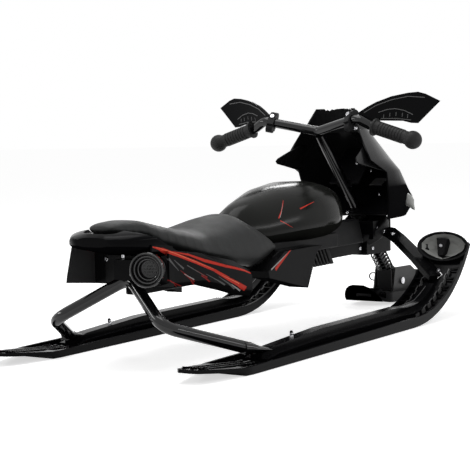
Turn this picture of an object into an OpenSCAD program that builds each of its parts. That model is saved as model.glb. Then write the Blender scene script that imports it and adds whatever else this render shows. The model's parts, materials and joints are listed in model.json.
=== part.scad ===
// Steering sled: a child's motorcycle-style snow sled on two side runners,
// steered by a third ski under a handlebar. +X forward, +Y left, +Z up,
// floor at Z = 0. Every place is measured from the sled's reference section
// and moved by mid_x so that the model is centred on its own length.

/* [Side runners] */
// Distance of each runner's centre line from the middle of the sled
ski_y = 233; // [200:1:260]
// Width of a side runner
ski_w = 108; // [80:2:116]
// Radius of the upturned nose of the sole
nose_r = 335; // [300:5:360]
// Where the flat sole ends and the nose starts to rise
nose_x = 126; // [110:2:150]
// How far the nose turns up, in degrees
nose_turn = 58; // [50:1:62]
// End of the flat sole at the back
sole_back_x = -528; // [-560:2:-500]
// Tip of the raised tail
tail_tip_x = -645; // [-660:1:-620]
// Height of the tail tip above the floor
tail_lift = 20; // [12:1:26]
// Wall height of the runner at its back end
wall_back = 15; // [12:1:18]
// Wall height where the nose starts
wall_front = 22; // [18:1:26]
// Wall height at the top of the nose
wall_nose = 12; // [10:1:14]
// Wall thickness of the runner channel
ski_wall = 5; // [3:0.5:6]
// Width of the foot of the raised crest along the middle of the runner
crest_w = 56; // [44:1:62]
// Width of the ridge on the crest
ridge_w = 26; // [20:1:32]
// Height of the ridge above the floor
crest_h = 42; // [36:1:44]
// Height of the ridge above the sole on the nose
crest_nose = 23; // [18:1:26]

/* [Toe cups] */
// Outer width of a toe cup
cup_w = 132; // [110:2:136]
// Outer height of a toe cup
cup_h = 70; // [60:1:76]
// Depth of a toe cup
cup_depth = 36; // [28:1:40]
// How far the middle of a cup's mouth lies inside the sole of the nose
cup_in = 29; // [24:1:34]
// Lean of the cup mouth from upright, in degrees
cup_lean = 15; // [5:1:30]
// Wall of a toe cup
cup_wall = 4; // [3:0.5:6]

/* [Frame] */
// Diameter of the bent arch tubes
arch_d = 24; // [20:1:26]
// Height and width of the backbone box tube
spine_h = 34; // [28:1:40]
// Underside of the backbone above the floor
spine_z = 133; // [128:1:140]
// Back end of the backbone
spine_back_x = -496; // [-500:1:-480]
// Width of the front beam that carries the steering head
beam_w = 56; // [50:1:64]
// Height of the front beam
beam_h = 40; // [34:1:44]
// Half the width of the housing around the steering head
housing_half = 46; // [38:1:50]
// Top of the housing around the steering head
housing_top = 210; // [200:1:214]
// Bend radius of the rear arch tube
rear_bend_r = 34; // [28:1:40]

/* [Steering] */
// Lean of the steering axis from upright, in degrees
rake = 41.3; // [36:0.1:46]
// Height of the ski pivot above the floor
pivot_z = 48; // [44:1:54]
// Place of the ski pivot along the sled
pivot_x = 550; // [540:1:560]
// Length of the column from the ski pivot to the bend of the bar
stem_len = 511; // [490:1:530]
// Diameter of the steering column
stem_d = 25; // [22:0.5:28]
// Radial clearance of the column in the steering head
head_clear = 0.05; // [0.02:0.01:0.1]
// Outer diameter of the steering head
head_d = 46; // [42:1:52]
// Lower end of the steering head along the column, where the spring bears on it
head_low = 86; // [82:1:90]
// Upper end of the steering head along the column
head_high = 166; // [158:1:172]
// Running gap between the steering head and the collars
head_gap = 0.5; // [0.3:0.1:2]

/* [Handlebar] */
// Diameter of the handlebar tube
bar_d = 22; // [19:0.5:25]
// Half the width over the middles of the ball ends
bar_half = 261; // [240:1:270]
// Diameter of the grips
grip_d = 32; // [28:1:36]
// Diameter of the ball at the end of a grip
ball_d = 41; // [36:1:44]
// Thickness of the hand guards
guard_t = 4; // [3:0.5:6]

/* [Spring] */
// Outer diameter of the coil spring on the column
spring_d = 40; // [34:1:44]
// Wire diameter of the coil spring
spring_wire = 4; // [3:0.5:5]
// Turns of the coil spring
spring_turns = 5; // [4:1:7]

/* [Front ski] */
// Width of the front ski
front_w = 108; // [90:1:112]
// Back edge of the front ski
front_back_x = 404; // [396:1:420]
// Tip of the front ski
front_tip_x = 700; // [690:1:710]
// Height of the front ski's tip
front_tip_z = 70; // [56:1:76]

/* [Body] */
// Underside of the floor tray, which lies on the backbone
tray_z = 167; // [162:1:172]
// Top of the floor tray below the seat
tray_top = 200; // [196:1:204]
// Half the width of the floor tray
tray_half = 66; // [58:1:70]
// Diameter of the dummy exhaust end
exhaust_d = 68; // [58:1:74]
// Gap between body pieces that nest in each other
seam = 0.3; // [0.2:0.1:1]

/* [Hidden] */
$fn = 48;

mid_x = (front_tip_x + tail_tip_x) / 2;
axis_up = [-sin(rake), 0, cos(rake)];
spine_top = spine_z + spine_h;

// Points of an arc in the X-Z plane; angles count from straight down
function arc(cx, cz, r, a0, a1, steps) =
  [for (i = [0:steps]) let (a = a0 + (a1 - a0) * i / steps) [cx + r * sin(a), cz - r * cos(a)]];

// A value between two others
function mix(a, b, t) = a + (b - a) * t;

// Puts a child at its place along the sled
module placed() {
  translate([-mid_x, 0, 0]) children();
}

// Mirrors a left-hand piece to the right
module sided(side) {
  scale([1, side, 1]) children();
}

// Frame of the steering column: Z runs up the column from the ski pivot
module on_pivot() {
  translate([pivot_x, 0, pivot_z]) rotate([0, -rake, 0]) children();
}

module on_column() {
  placed() on_pivot() children();
}

// A side view [x, z] given its width along Y
module side_plate(points, y0, width) {
  translate([0, y0 + width, 0]) rotate([90, 0, 0]) linear_extrude(width) polygon(points);
}

// Turns a child so that its Z runs from a towards b, starting at a
module along(a, b) {
  v = b - a;
  translate(a) rotate([0, acos(v[2] / norm(v)), atan2(v[1], v[0])]) children();
}

function unit(v) = v / norm(v);

// Length that a bend at b takes from the straight on each side
function bend_cut(a, b, c, r) = let (turn = acos(unit(b - a) * unit(c - b))) r * tan(turn / 2);

// The centre line of a bent tube: straights joined by arcs of radius r
bend_steps = 6;
function tube_line(points, r) = let (last = len(points) - 1) concat([points[0]],
  [for (i = [1:last - 1]) let (
      b = points[i], u = unit(b - points[i - 1]), w = unit(points[i + 1] - b),
      turn = acos(u * w), n = unit(w - (w * u) * u), o = b - u * bend_cut(points[i - 1], b, points[i + 1], r) + n * r)
    for (k = [0:bend_steps]) let (a = turn * k / bend_steps) o - n * r * cos(a) + u * r * sin(a)],
  [points[last]]);

// A round tube through a list of points, bent to radius r; no stretch is upright
tube_sides = 20;
module bent_tube(points, d, r) {
  line = tube_line(points, r);
  last = len(line) - 1;
  n = tube_sides;
  rings = [for (i = [0:last])
    let (t = unit(line[min(i + 1, last)] - line[max(i - 1, 0)]), s = unit(cross([0, 0, 1], t)), up = cross(t, s))
    for (k = [0:n - 1]) let (a = 360 * k / n) line[i] + d / 2 * (cos(a) * s + sin(a) * up)];
  faces = concat([[for (i = [n - 1:-1:0]) i]], [[for (i = [0:n - 1]) last * n + i]],
    [for (k = [0:last - 1]) for (i = [0:n - 1]) let (j = (i + 1) % n)
      each [[k * n + i, k * n + j, (k + 1) * n + j], [k * n + i, (k + 1) * n + j, (k + 1) * n + i]]]);
  polyhedron(points = rings, faces = [for (f = faces) [for (i = [len(f) - 1:-1:0]) f[i]]], convexity = 8);
}

// The whole of a path that is given for the left half only
function both_sides(path) = let (n = len(path) - 1)
  concat([for (i = [n:-1:path[0][1] == 0 ? 1 : 0]) [path[i][0], -path[i][1], path[i][2]]], path);

// One ring of a lofted body: a rounded rectangle across the sled
// station = [x, half width, underside, top, squareness]
loft_sides = 40;
function ring(s, grow) = let (
    half_h = (s[3] - s[2]) / 2 + grow, mid = (s[3] + s[2]) / 2, half_w = s[1] + grow
  ) [for (i = [0:loft_sides - 1])
    let (a = 360 * (i + 0.5) / loft_sides, c = cos(a), n = sin(a))
    [s[0], half_w * sign(c) * pow(abs(c), 2 / s[4]), mid + half_h * sign(n) * pow(abs(n), 2 / s[4])]];

// A closed body lofted through its stations
module loft(stations, grow = 0) {
  last = len(stations) - 1;
  ends = [for (k = [0:last]) let (s = stations[k])
    k == 0 ? concat([s[0] - grow], [for (j = [1:4]) s[j]])
    : k == last ? concat([s[0] + grow], [for (j = [1:4]) s[j]]) : s];
  points = [for (s = ends) each ring(s, grow)];
  n = loft_sides;
  // The two triangles of each patch are mirrored from left to right
  faces = concat(
    [[for (i = [0:n - 1]) i]],
    [[for (i = [n - 1:-1:0]) last * n + i]],
    [for (k = [0:last - 1]) for (i = [0:n - 1]) let (j = (i + 1) % n, a = k * n + i, b = k * n + j, c = a + n, d = b + n)
      each cos(360 * (i + 1) / n) > 0 ? [[b, a, d], [a, c, d]] : [[b, a, c], [b, c, d]]]
  );
  polyhedron(points = points, faces = faces, convexity = 6);
}

// Side runners

nose_end = nose_turn;
// Sole of a runner from the tail tip to the top of the nose
ski_sole = concat(
  [[tail_tip_x, tail_lift], [sole_back_x - 4, 7], [sole_back_x, 0]],
  arc(nose_x, nose_r, nose_r, 0, nose_end, 12)
);
// A point of the nose at angle a, a height h inside its sole
function on_nose(a, h) = [nose_x + (nose_r - h) * sin(a), nose_r - (nose_r - h) * cos(a)];

// Wall tops from the tip of the nose back to the tail
ski_rim = concat(
  [for (i = [12:-1:0]) on_nose(nose_end * i / 12, mix(wall_front, wall_nose, min(1, i / 8)))],
  [[sole_back_x, wall_back], [tail_tip_x, tail_lift + 7]]
);
// The floor of the channel, a wall above the sole
floor_t = 6;
channel_back = 12;
channel_turn = nose_end - 4;
ski_floor = concat([[sole_back_x + channel_back, floor_t]], arc(nose_x, nose_r, nose_r - floor_t, 0, channel_turn, 12));
channel_h = 60;
ski_open = concat(
  [for (i = [12:-1:0]) on_nose(channel_turn * i / 12, channel_h)],
  [[sole_back_x + channel_back, channel_h]]
);
// Plan of a runner: a blunt tail and straight sides
tip_half = 24;
ski_plan = [
  [tail_tip_x, -tip_half + 8], [tail_tip_x + 8, -tip_half], [sole_back_x - 30, -ski_w * 0.42], [sole_back_x + 20, -ski_w / 2],
  [500, -ski_w / 2], [500, ski_w / 2], [sole_back_x + 20, ski_w / 2],
  [sole_back_x - 30, ski_w * 0.42], [tail_tip_x + 8, tip_half], [tail_tip_x, tip_half - 8]
];
crest_back_x = -418;
crest_turn = 34;
// Side view of the crest at a share of its height: it rises from the arch's foot and sinks on the nose
function crest_side(share) = concat(
  [[crest_back_x, floor_t - 1]],
  arc(nose_x, nose_r, nose_r - floor_t + 1, 0, crest_turn, 8),
  [for (i = [8:-1:0]) on_nose(crest_turn * i / 8, mix(crest_h, crest_nose, min(1, i / 5)) * share)],
  [[-190, (crest_h - 1) * share], [-378, (crest_h - 12) * share], [crest_back_x, 20 * share]]
);
// Share of the ridge's height that the crest's shoulders reach
shoulder = 0.62;

module ski() {
  difference() {
    union() {
      difference() {
        intersection() {
          side_plate(concat(ski_sole, ski_rim), -ski_w / 2, ski_w);
          translate([0, 0, -1]) linear_extrude(320) polygon(ski_plan);
        }
        side_plate(concat(ski_floor, ski_open), -ski_w / 2 + ski_wall, ski_w - 2 * ski_wall);
      }
      side_plate(crest_side(shoulder), -crest_w / 2, crest_w);
      side_plate(crest_side(1), -ridge_w / 2, ridge_w);
    }
    place_cup() cup_shape(-seam, cup_depth);
    place_cup() cup_mouth(40);
    translate([0, -ski_y, 0]) arm_bar(seam);
  }
}

// Toe cup: a rounded bucket on the nose, open to the back
cup_a = nose_turn - 4;
cup_x = nose_x + (nose_r - cup_in) * sin(cup_a);
cup_z = nose_r - (nose_r - cup_in) * cos(cup_a);
cup_end = 0.6;
cup_rise = 6;
module cup_disk(d, t) {
  rotate([0, 90, 0]) scale([cup_h / cup_w, 1, 1]) cylinder(d = d, h = t, $fn = 32);
}

module cup_shape(grow, depth) {
  hull() {
    cup_disk(cup_w - 2 * grow, 1);
    translate([depth - grow - 1, 0, cup_rise]) cup_disk(cup_w * cup_end - 2 * grow, 1);
  }
}

// The room for a boot behind the mouth of a cup
module cup_mouth(back) {
  hull() {
    translate([-back, 0, 0]) cup_disk(cup_w, 1);
    cup_disk(cup_w + 2 * seam, 0.5);
  }
}

module place_cup() {
  translate([cup_x, 0, cup_z]) rotate([0, cup_lean, 0]) children();
}

module toe_cup() {
  place_cup() difference() {
    cup_shape(0, cup_depth);
    translate([-1, 0, 0]) cup_shape(cup_wall, cup_depth + 1);
  }
}

// Where the first straight of a bend must start for the middle of the bend, at radius r, to pass
// through apex, when both its arms run down to mirrored points
function bend_vertex(apex, arm, r, at, rounds = 5) = let (
    v = arm - at, across = unit([v[0], 0, v[2]]), rise = r * (1 / sin(acos(unit(v) * across)) - 1))
  rounds == 0 ? at : bend_vertex(apex, arm, r, apex - rise * across, rounds - 1);

// Bent frame tube: [x, y, z] of each bend on the left
rear_apex = [spine_back_x - arch_d / 2, 0, 160];
rear_side = [[-576, 132, 88], [-432, 222, 34]];
rear_path = concat([bend_vertex(rear_apex, rear_side[0], rear_bend_r, rear_apex)], rear_side);

module rear_arch() {
  bent_tube(both_sides(rear_path), arch_d, rear_bend_r);
}

// A bar swept through points; each size is [width across, height]
module swept_bar(points, sizes) {
  last = len(points) - 1;
  rings = [for (i = [0:last])
    let (t = unit(points[min(i + 1, last)] - points[max(i - 1, 0)]), s = unit(cross([0, 0, 1], t)), up = cross(t, s),
      w = sizes[i][0] / 2, h = sizes[i][1] / 2)
    each [points[i] + w * s - h * up, points[i] + w * s + h * up, points[i] - w * s + h * up, points[i] - w * s - h * up]];
  faces = concat([[0, 1, 2, 3]], [[for (i = [3:-1:0]) last * 4 + i]],
    [for (k = [0:last - 1]) for (i = [0:3]) let (j = (i + 1) % 4)
      each [[k * 4 + j, k * 4 + i, (k + 1) * 4 + j], [k * 4 + i, (k + 1) * 4 + i, (k + 1) * 4 + j]]]);
  polyhedron(points = rings, faces = faces, convexity = 6);
}

// Front arm: [x, y, z, width, height] along its middle, from the head to the runner
arm_table = [
  [432, 36, 184, 30, 20], [428, 66, 180, 30, 20], [412, 98, 166, 29, 18],
  [374, 168, 126, 34, 16], [343, 222, 93, 42, 14], [336, 236, 86, 44, 12]
];
module arm_bar(grow) {
  swept_bar([for (r = arm_table) [r[0], r[1], r[2]]], [for (r = arm_table) [r[3] + 2 * grow, r[4] + 2 * grow]]);
}

module front_arm() {
  below = concat([[nose_x, -50]], arc(nose_x, nose_r, nose_r - floor_t - seam, 0, channel_turn, 12), [[500, 100], [500, -50]]);
  difference() {
    arm_bar(0);
    head_housing(seam);
    translate([0, ski_y, 0]) side_plate(below, -ski_w / 2 - 10, ski_w + 20);
  }
}

// Body stations: [x, half width, underside, top, squareness]
tank_stations = [
  [-178, 30, 202, 252, 2.4], [-150, 56, 196, 278, 2.4], [-110, 78, 190, 293, 2.4],
  [-29, 104, 188, 314, 2.5], [60, 114, 188, 323, 2.6], [120, 110, 190, 321, 2.7],
  [165, 92, 194, 312, 2.6], [200, 62, 206, 292, 2.4]
];
seat_stations = [
  [-600, 22, 257, 266, 2.4], [-588, 40, 252, 271, 2.6], [-511, 64, 242, 275, 2.8],
  [-418, 84, 208, 251, 2.8], [-340, 101, 180, 254, 2.8], [-264, 111, 158, 268, 2.8],
  [-195, 115, 148, 272, 2.7], [-140, 112, 158, 250, 2.5], [-98, 104, 182, 214, 2.3]
];
fender_stations = [
  [-612, 38, 236, 254, 3], [-602, 64, 232, 259, 3.4], [-572, 88, 226, 263, 4], [-540, 97, 220, 262, 4],
  [-470, 99, 205, 246, 4], [-400, 98, 204, 226, 4]
];

module seat_pad() {
  difference() {
    loft(seat_stations);
    loft(tank_stations, seam);
    translate([-540, -tray_half - seam, 120]) cube([560, 2 * tray_half + 2 * seam, tray_top + seam - 120]);
  }
}

module tank() {
  difference() {
    loft(tank_stations);
    translate([-300, -tray_half - seam, 120]) cube([600, 2 * tray_half + 2 * seam, tray_top + seam - 120]);
  }
}

module tail_fender() {
  difference() {
    loft(fender_stations);
    loft(seat_stations, seam);
    translate([-540, -tray_half - seam, 120]) cube([560, 2 * tray_half + 2 * seam, tray_top + seam - 120]);
  }
}

tray_l = 670;
module floor_tray() {
  translate([wall_x, -tray_half, tray_z]) cube([tray_l, 2 * tray_half, tray_top - tray_z]);
}

// Cross wall under the tail, in front of the rear arch
wall_x = -490;
wall_low = 156;
module tail_wall() {
  difference() {
    translate([wall_x - 4, -tray_half, wall_low]) cube([4, 2 * tray_half, tray_top + 10 - wall_low]);
    loft(fender_stations, seam);
    translate([spine_back_x - 10, -spine_h / 2 - seam, spine_z - 10]) cube([60, spine_h + 2 * seam, spine_h + 10 + seam]);
  }
}

// Side panel: [x, inner y, outer y, underside, top] at each station
panel_stations = [
  [-580, 94, 98, 162, 240], [-492, 95, 100, 152, 232], [-490, tray_half + seam, 100, 152, 232],
  [-400, tray_half + seam, 106, 147, 208], [-300, tray_half + seam, 113, 122, 184], [-245, tray_half + seam, 113, 106, 160]
];
module side_panel(side) {
  difference() {
    for (i = [0:len(panel_stations) - 2]) hull() for (k = [0, 1]) {
      s = panel_stations[i + k];
      translate([s[0], s[1], s[3]]) cube([0.01, s[2] - s[1] - min(8, (s[2] - s[1]) / 3), s[4] - s[3]]);
      translate([s[0], s[1], s[3] + 12]) cube([0.01, s[2] - s[1], s[4] - s[3] - 24]);
    }
    loft(seat_stations, seam);
    loft(fender_stations, seam);
    translate([wall_x - 4 - seam, 0, 100]) cube([4 + 2 * seam, tray_half + 4, 200]);
    if (side < 0) place_exhaust() translate([0, 0, -20]) cylinder(d = exhaust_d + 2 * seam, h = exhaust_l + 20 + seam);
  }
}

exhaust_at = [-570, 94, 192];
exhaust_l = 62;
module place_exhaust() {
  translate(exhaust_at) rotate([0, 90, -9]) children();
}

module exhaust() {
  difference() {
    place_exhaust() difference() {
      cylinder(d = exhaust_d, h = exhaust_l);
      translate([0, 0, -1]) cylinder(d = exhaust_d - 14, h = 25);
    }
    loft(fender_stations, seam);
  }
}

shield_side = [[-120, 186], [-70, 186], [30, 186], [4, 168], [-32, 99], [-182, 136], [-186, 150]];
module leg_shield() {
  difference() {
    side_plate(shield_side, tray_half + seam, 48);
    loft(seat_stations, seam);
    loft(tank_stations, seam);
  }
}

block_half = 52;
block_low = 128;
block_back_x = 50;
block_l = 110;
block_lean = 24;
block_pitch = 14;
groove_w = 6;
// Side view of a slice of the block under the tank, whose ends lean back
function leaning(x, length, over) = [
  [x + block_lean, block_low - over], [x + length + block_lean, block_low - over],
  [x + length, tray_z - seam + over], [x, tray_z - seam + over]
];
module ribbed_block() {
  difference() {
    side_plate(leaning(block_back_x, block_l, 0), -block_half, 2 * block_half);
    translate([0, -spine_h / 2 - seam, 100]) cube([200, spine_h + 2 * seam, 100]);
    for (side = [1, -1], i = [0:6]) sided(side)
      side_plate(leaning(block_back_x + 6 + i * block_pitch, groove_w, 1), block_half - groove_w, groove_w + 1);
  }
}

beam_back_x = 380;
module backbone() {
  translate([spine_back_x, -spine_h / 2, spine_z]) cube([beam_back_x - spine_back_x, spine_h, spine_h]);
}

beam_end_x = 492;
module head_housing(grow) {
  translate([beam_back_x - grow, -housing_half - grow, spine_top - 1 - grow])
    cube([88 + 2 * grow, 2 * housing_half + 2 * grow, housing_top - spine_top + 1 + 2 * grow]);
}

// Beam, housing and head tube around the column
module steering_head() {
  difference() {
    union() {
      translate([beam_back_x, -beam_w / 2, spine_top - beam_h]) cube([beam_end_x - beam_back_x, beam_w, beam_h]);
      translate([beam_end_x, 0, spine_top - beam_h]) cylinder(d = beam_w, h = beam_h);
      head_housing(0);
      on_pivot() translate([0, 0, head_low]) cylinder(d = head_d, h = head_high - head_low);
    }
    on_pivot() translate([0, 0, 20]) cylinder(d = stem_d + 2 * head_clear, h = 260);
  }
}

module rear_bracket() {
  difference() {
    translate([-520, -24, 160]) cube([520 + wall_x - 4 - seam, 48, tray_top - 160 + 4]);
    bent_tube(both_sides(rear_path), arch_d + 0.4, rear_bend_r);
    translate([spine_back_x - seam, -spine_h / 2 - seam, spine_z - 10]) cube([60, spine_h + 2 * seam, spine_h + 10 + seam]);
    loft(fender_stations, seam);
  }
}

// Steering assembly along the column
foot_d = 34;
foot_half = 24;
bolt_d = 10;
bolt_head_d = 17;
spring_low = 24;
module column() {
  difference() {
    union() {
      cylinder(d = stem_d, h = stem_len - bar_d / 2);
      rotate([90, 0, 0]) cylinder(d = foot_d, h = 2 * foot_half, center = true);
      translate([0, 0, spring_low - 4]) cylinder(d = spring_d + 4, h = 4);
    }
    rotate([90, 0, 0]) cylinder(d = bolt_d + 0.1, h = 60, center = true);
    translate([0, 0, stem_len]) rotate([90, 0, 0]) cylinder(d = bar_d + 0.2, h = 60, center = true);
  }
}

// The collar clears the flat top of the housing under its leaning ring
collar_at = (housing_top - pivot_z) / cos(rake) + (head_d - 6) / 2 * tan(rake) + head_gap;
module upper_collar() {
  difference() {
    translate([0, 0, collar_at]) cylinder(d = head_d - 6, h = 12);
    cylinder(d = stem_d, h = 300);
  }
}

spring_high = head_low - seam;
module coil_spring() {
  steps = 14;
  total = spring_turns * steps;
  sides = 8;
  r = (spring_d - spring_wire) / 2;
  points = [for (k = [0:total]) let (a = 360 * k / steps, z = mix(spring_low + spring_wire / 2, spring_high - spring_wire / 2, k / total))
    for (i = [0:sides - 1]) let (b = 360 * i / sides)
    [(r + spring_wire / 2 * cos(b)) * cos(a), (r + spring_wire / 2 * cos(b)) * sin(a), z + spring_wire / 2 * sin(b)]];
  faces = concat([[for (i = [sides - 1:-1:0]) i]], [[for (i = [0:sides - 1]) total * sides + i]],
    [for (k = [0:total - 1]) for (i = [0:sides - 1]) let (j = (i + 1) % sides)
      each [[k * sides + i, k * sides + j, (k + 1) * sides + j], [(k + 1) * sides + i, k * sides + i, (k + 1) * sides + j]]]);
  polyhedron(points = points, faces = faces, convexity = 10);
}

// The cheeks stand on the front ski's middle pad
cheek_low = 20;
cheek_t = 4;
pad_half = foot_half + cheek_t;
cheek_side = [[504, cheek_low + seam], [520, 84], [600, 82], [628, 66], [616, 30], [600, cheek_low + seam]];
module ski_bracket() {
  difference() {
    union() {
      for (side = [1, -1]) sided(side) side_plate(cheek_side, foot_half + 0.5, cheek_t);
      translate([508, -foot_half - 1, cheek_low + 1]) cube([56, 2 * foot_half + 2, 4]);
    }
    translate([pivot_x, 0, pivot_z]) rotate([90, 0, 0]) cylinder(d = bolt_d + 0.1, h = 80, center = true);
  }
}

module pivot_bolt() {
  translate([pivot_x, 0, pivot_z]) rotate([90, 0, 0]) {
    cylinder(d = bolt_d, h = 2 * (foot_half + cheek_t + 6), center = true);
    for (side = [1, -1]) translate([0, 0, side * (foot_half + 0.5 + cheek_t + 2.5)])
      cylinder(d = bolt_head_d, h = 5, center = true);
  }
}

front_flat_x = 600;
front_r = 130;
front_turn = 50;
tail_r = 70;
tail_turn = 44;
front_thick = 8;
front_rim = 24;
front_wall = 6;
front_tail_x = front_back_x + tail_r * sin(tail_turn);
// Side view of the front ski, turned up at both ends, between two heights above its sole and
// short of each end by an angle
function front_side(low, high, less) = concat(
  arc(front_tail_x, tail_r, tail_r - low, less - tail_turn, 0, 5),
  arc(front_flat_x, front_r, front_r - low, 0, front_turn - less, 8),
  arc(front_flat_x, front_r, front_r - high, front_turn - less, 0, 8),
  arc(front_tail_x, tail_r, tail_r - high, 0, less - tail_turn, 5)
);
front_end = 54;
front_closed = 7;
module front_ski() {
  intersection() {
    difference() {
      side_plate(front_side(0, front_rim, 0), -front_w / 2, front_w);
      for (side = [1, -1]) sided(side)
        side_plate(front_side(front_thick, front_rim + 20, front_closed), pad_half, front_w / 2 - front_wall - pad_half);
      side_plate(front_side(cheek_low, front_rim + 19, front_closed - 1), -pad_half - 1, 2 * pad_half + 2);
    }
    union() {
      translate([front_back_x + front_end, -front_w / 2, -1]) cube([front_tip_x - front_back_x - 2 * front_end, front_w, 120]);
      translate([front_back_x + front_end, 0, -1]) cylinder(r = front_w / 2, h = 120);
      translate([front_tip_x - front_end, 0, -1]) cylinder(r = front_w / 2, h = 120);
    }
  }
}

ring_r = 9;
ring_wire = 2.5;
ring_at = [-15, 0, 7];
// Pull ring of the clip that locks the pivot bolt, beside the bolt's left head
module lock_pin() {
  head_y = foot_half + 0.5 + cheek_t;
  reach = norm(ring_at) - bolt_head_d / 2 - seam;
  translate([pivot_x, head_y + 3, pivot_z]) {
    along(ring_at, [0, 0, 0]) cylinder(d = ring_wire - 0.6, h = reach);
    translate(ring_at + [0, ring_r, 0]) rotate([0, 90, 0])
      rotate_extrude() translate([ring_r, 0]) circle(d = ring_wire);
  }
}

// Bends of the bar on the left; its middle lies in the saddle at the top of the column
bar_bend_r = 26;
bar_apex = [pivot_x - stem_len * sin(rake), 0, pivot_z + stem_len * cos(rake)];
bar_side = [[179, 124, 458], [187, 156, 441], [184, bar_half, 408]];
bar_points = concat([bend_vertex(bar_apex, bar_side[0], bar_bend_r, bar_apex)], bar_side);
module handlebar() {
  bent_tube(both_sides(bar_points), bar_d, bar_bend_r);
}

grip_start = 0.07;
module grip() {
  a = mix(bar_points[2], bar_points[3], grip_start);
  b = bar_points[3];
  length = norm(b - a);
  along(a, b) difference() {
    union() {
      cylinder(d = grip_d + 8, h = 5);
      cylinder(d = grip_d, h = length);
      translate([0, 0, length]) sphere(d = ball_d);
    }
    translate([0, 0, -1]) cylinder(d = bar_d + 0.1, h = length + 1.05);
  }
}

clamp_at = 0.86;
module bar_clamp() {
  along(mix(bar_points[0], bar_points[1], clamp_at), bar_points[1]) rotate([0, 0, 36]) difference() {
    union() {
      translate([-14, -15, -8]) cube([28, 30, 16]);
      for (side = [1, -1]) translate([side * 17, 0, -8]) cylinder(d = 20, h = 16);
    }
    cylinder(d = bar_d + 0.1, h = 40, center = true);
  }
}

guard_base = [192, 121, 462];
guard_turn = 65.3;
guard_outline = [[0, -14], [0, 10], [40, 32], [112, 52], [150, 48], [189, 30], [134, -18], [100, -12], [50, -10]];
module hand_guard() {
  translate(guard_base) rotate([0, 0, guard_turn]) rotate([90, 0, 0]) linear_extrude(guard_t) polygon(guard_outline);
}

// Cowl levels: [height, back edge x, half width, nose x]
cowl_levels = [
  [216, 372, 90, 560], [240, 352, 106, 580], [262, 342, 114, 575], [285, 332, 118, 540],
  [331, 318, 122, 482], [362, 250, 118, 448], [400, 258, 96, 408], [432, 268, 78, 372]
];
cowl_t = 4;
cowl_steps = 16;
// One level: a U open to the back, run on by reach behind its back edge
function cowl_row(v, inset, reach, z) = let (w = v[2] - inset, l = v[3] - inset - v[1]) concat(
  [[v[1] - reach, -w, z]],
  [for (i = [0:cowl_steps]) let (a = -90 + 180 * i / cowl_steps)
    [v[1] + 1 + l * cos(a), w * sign(sin(a)) * pow(abs(sin(a)), 0.8), z]],
  [[v[1] - reach, w, z]]);
module cowl_volume(levels, inset, reach, over) {
  n = cowl_steps + 3;
  last = len(levels) - 1;
  points = [for (k = [0:last]) let (v = levels[k])
    each cowl_row(v, inset, reach, v[0] + (k == 0 ? -over : k == last ? over : 0))];
  faces = concat([[for (i = [0:n - 1]) i]], [[for (i = [n - 1:-1:0]) last * n + i]],
    [for (k = [0:last - 1]) for (i = [0:n - 1]) let (j = (i + 1) % n)
      each [[k * n + j, k * n + i, (k + 1) * n + j], [k * n + i, (k + 1) * n + i, (k + 1) * n + j]]]);
  polyhedron(points = points, faces = faces, convexity = 8);
}

module cowl_shell(levels) {
  difference() {
    cowl_volume(levels, 0, 0, 0);
    cowl_volume(levels, cowl_t, 30, 5);
  }
}

module cowl() {
  cowl_shell(cowl_levels);
}

// The shield stands on the cowl's top edge and leans back
cowl_top = cowl_levels[len(cowl_levels) - 1];
shield_levels = [
  [cowl_top[0] + seam, cowl_top[1] + 4, cowl_top[2] - 2, cowl_top[3] - 2],
  [cowl_top[0] + 26, cowl_top[1] + 12, 64, 344], [cowl_top[0] + 50, cowl_top[1] + 24, 52, 312]
];
module windshield() {
  cowl_shell(shield_levels);
}

// Two plates that carry the cowl on the column: [place along the column, half width, reach]
cowl_plates = [[collar_at + 20, 120, 170], [338, 40, 150]];
module cowl_bracket() {
  difference() {
    intersection() {
      cowl_volume(cowl_levels, cowl_t, 0, 0);
      on_pivot() for (p = cowl_plates) {
        translate([-20, -p[1], p[0]]) cube([p[2] + 20, 2 * p[1], 4]);
        translate([0, 0, p[0] - 6]) cylinder(d = 36, h = 16);
      }
    }
    on_pivot() cylinder(d = stem_d + 0.2, h = stem_len);
  }
}

color("#222222") placed() translate([0, ski_y, 0]) ski();  // ski_left
color("#222222") placed() sided(-1) translate([0, ski_y, 0]) ski();  // ski_right
color("#444444") placed() translate([0, ski_y, 0]) toe_cup();  // toe_cup_left
color("#444444") placed() translate([0, -ski_y, 0]) toe_cup();  // toe_cup_right
color("#111111") placed() rear_arch();
color("#333333") placed() front_arm();  // front_arm_left
color("#333333") placed() sided(-1) front_arm();  // front_arm_right
color("#555555") placed() backbone();
color("#666666") placed() steering_head();
color("#777777") placed() rear_bracket();
color("#333333") placed() floor_tray();
color("#101010") placed() tail_fender();
color("#2a2a2a") placed() tail_wall();
color("#303030") placed() seat_pad();
color("#3a3a3a") placed() tank();
color("#802020") placed() side_panel(1);  // side_panel_left
color("#802020") placed() sided(-1) side_panel(-1);  // side_panel_right
color("#505050") placed() sided(-1) exhaust();
color("#383838") placed() leg_shield();  // leg_shield_left
color("#383838") placed() sided(-1) leg_shield();  // leg_shield_right
color("#1a1a1a") placed() ribbed_block();
color("#202020") on_column() column();
color("#909090") on_column() upper_collar();
color("#151515") on_column() coil_spring();
color("#808080") placed() ski_bracket();
color("#d0d0d0") placed() pivot_bolt();
color("#262626") placed() front_ski();
color("#a0a0a0") placed() lock_pin();
color("#141414") placed() handlebar();
color("#2e2e2e") placed() grip();  // grip_left
color("#2e2e2e") placed() sided(-1) grip();  // grip_right
color("#404040") placed() bar_clamp();  // bar_clamp_left
color("#404040") placed() sided(-1) bar_clamp();  // bar_clamp_right
color("#353535") placed() hand_guard();  // hand_guard_left
color("#353535") placed() sided(-1) hand_guard();  // hand_guard_right
color("#181818") placed() cowl();
color("#202020") placed() windshield();
color("#606060") placed() cowl_bracket();
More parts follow.
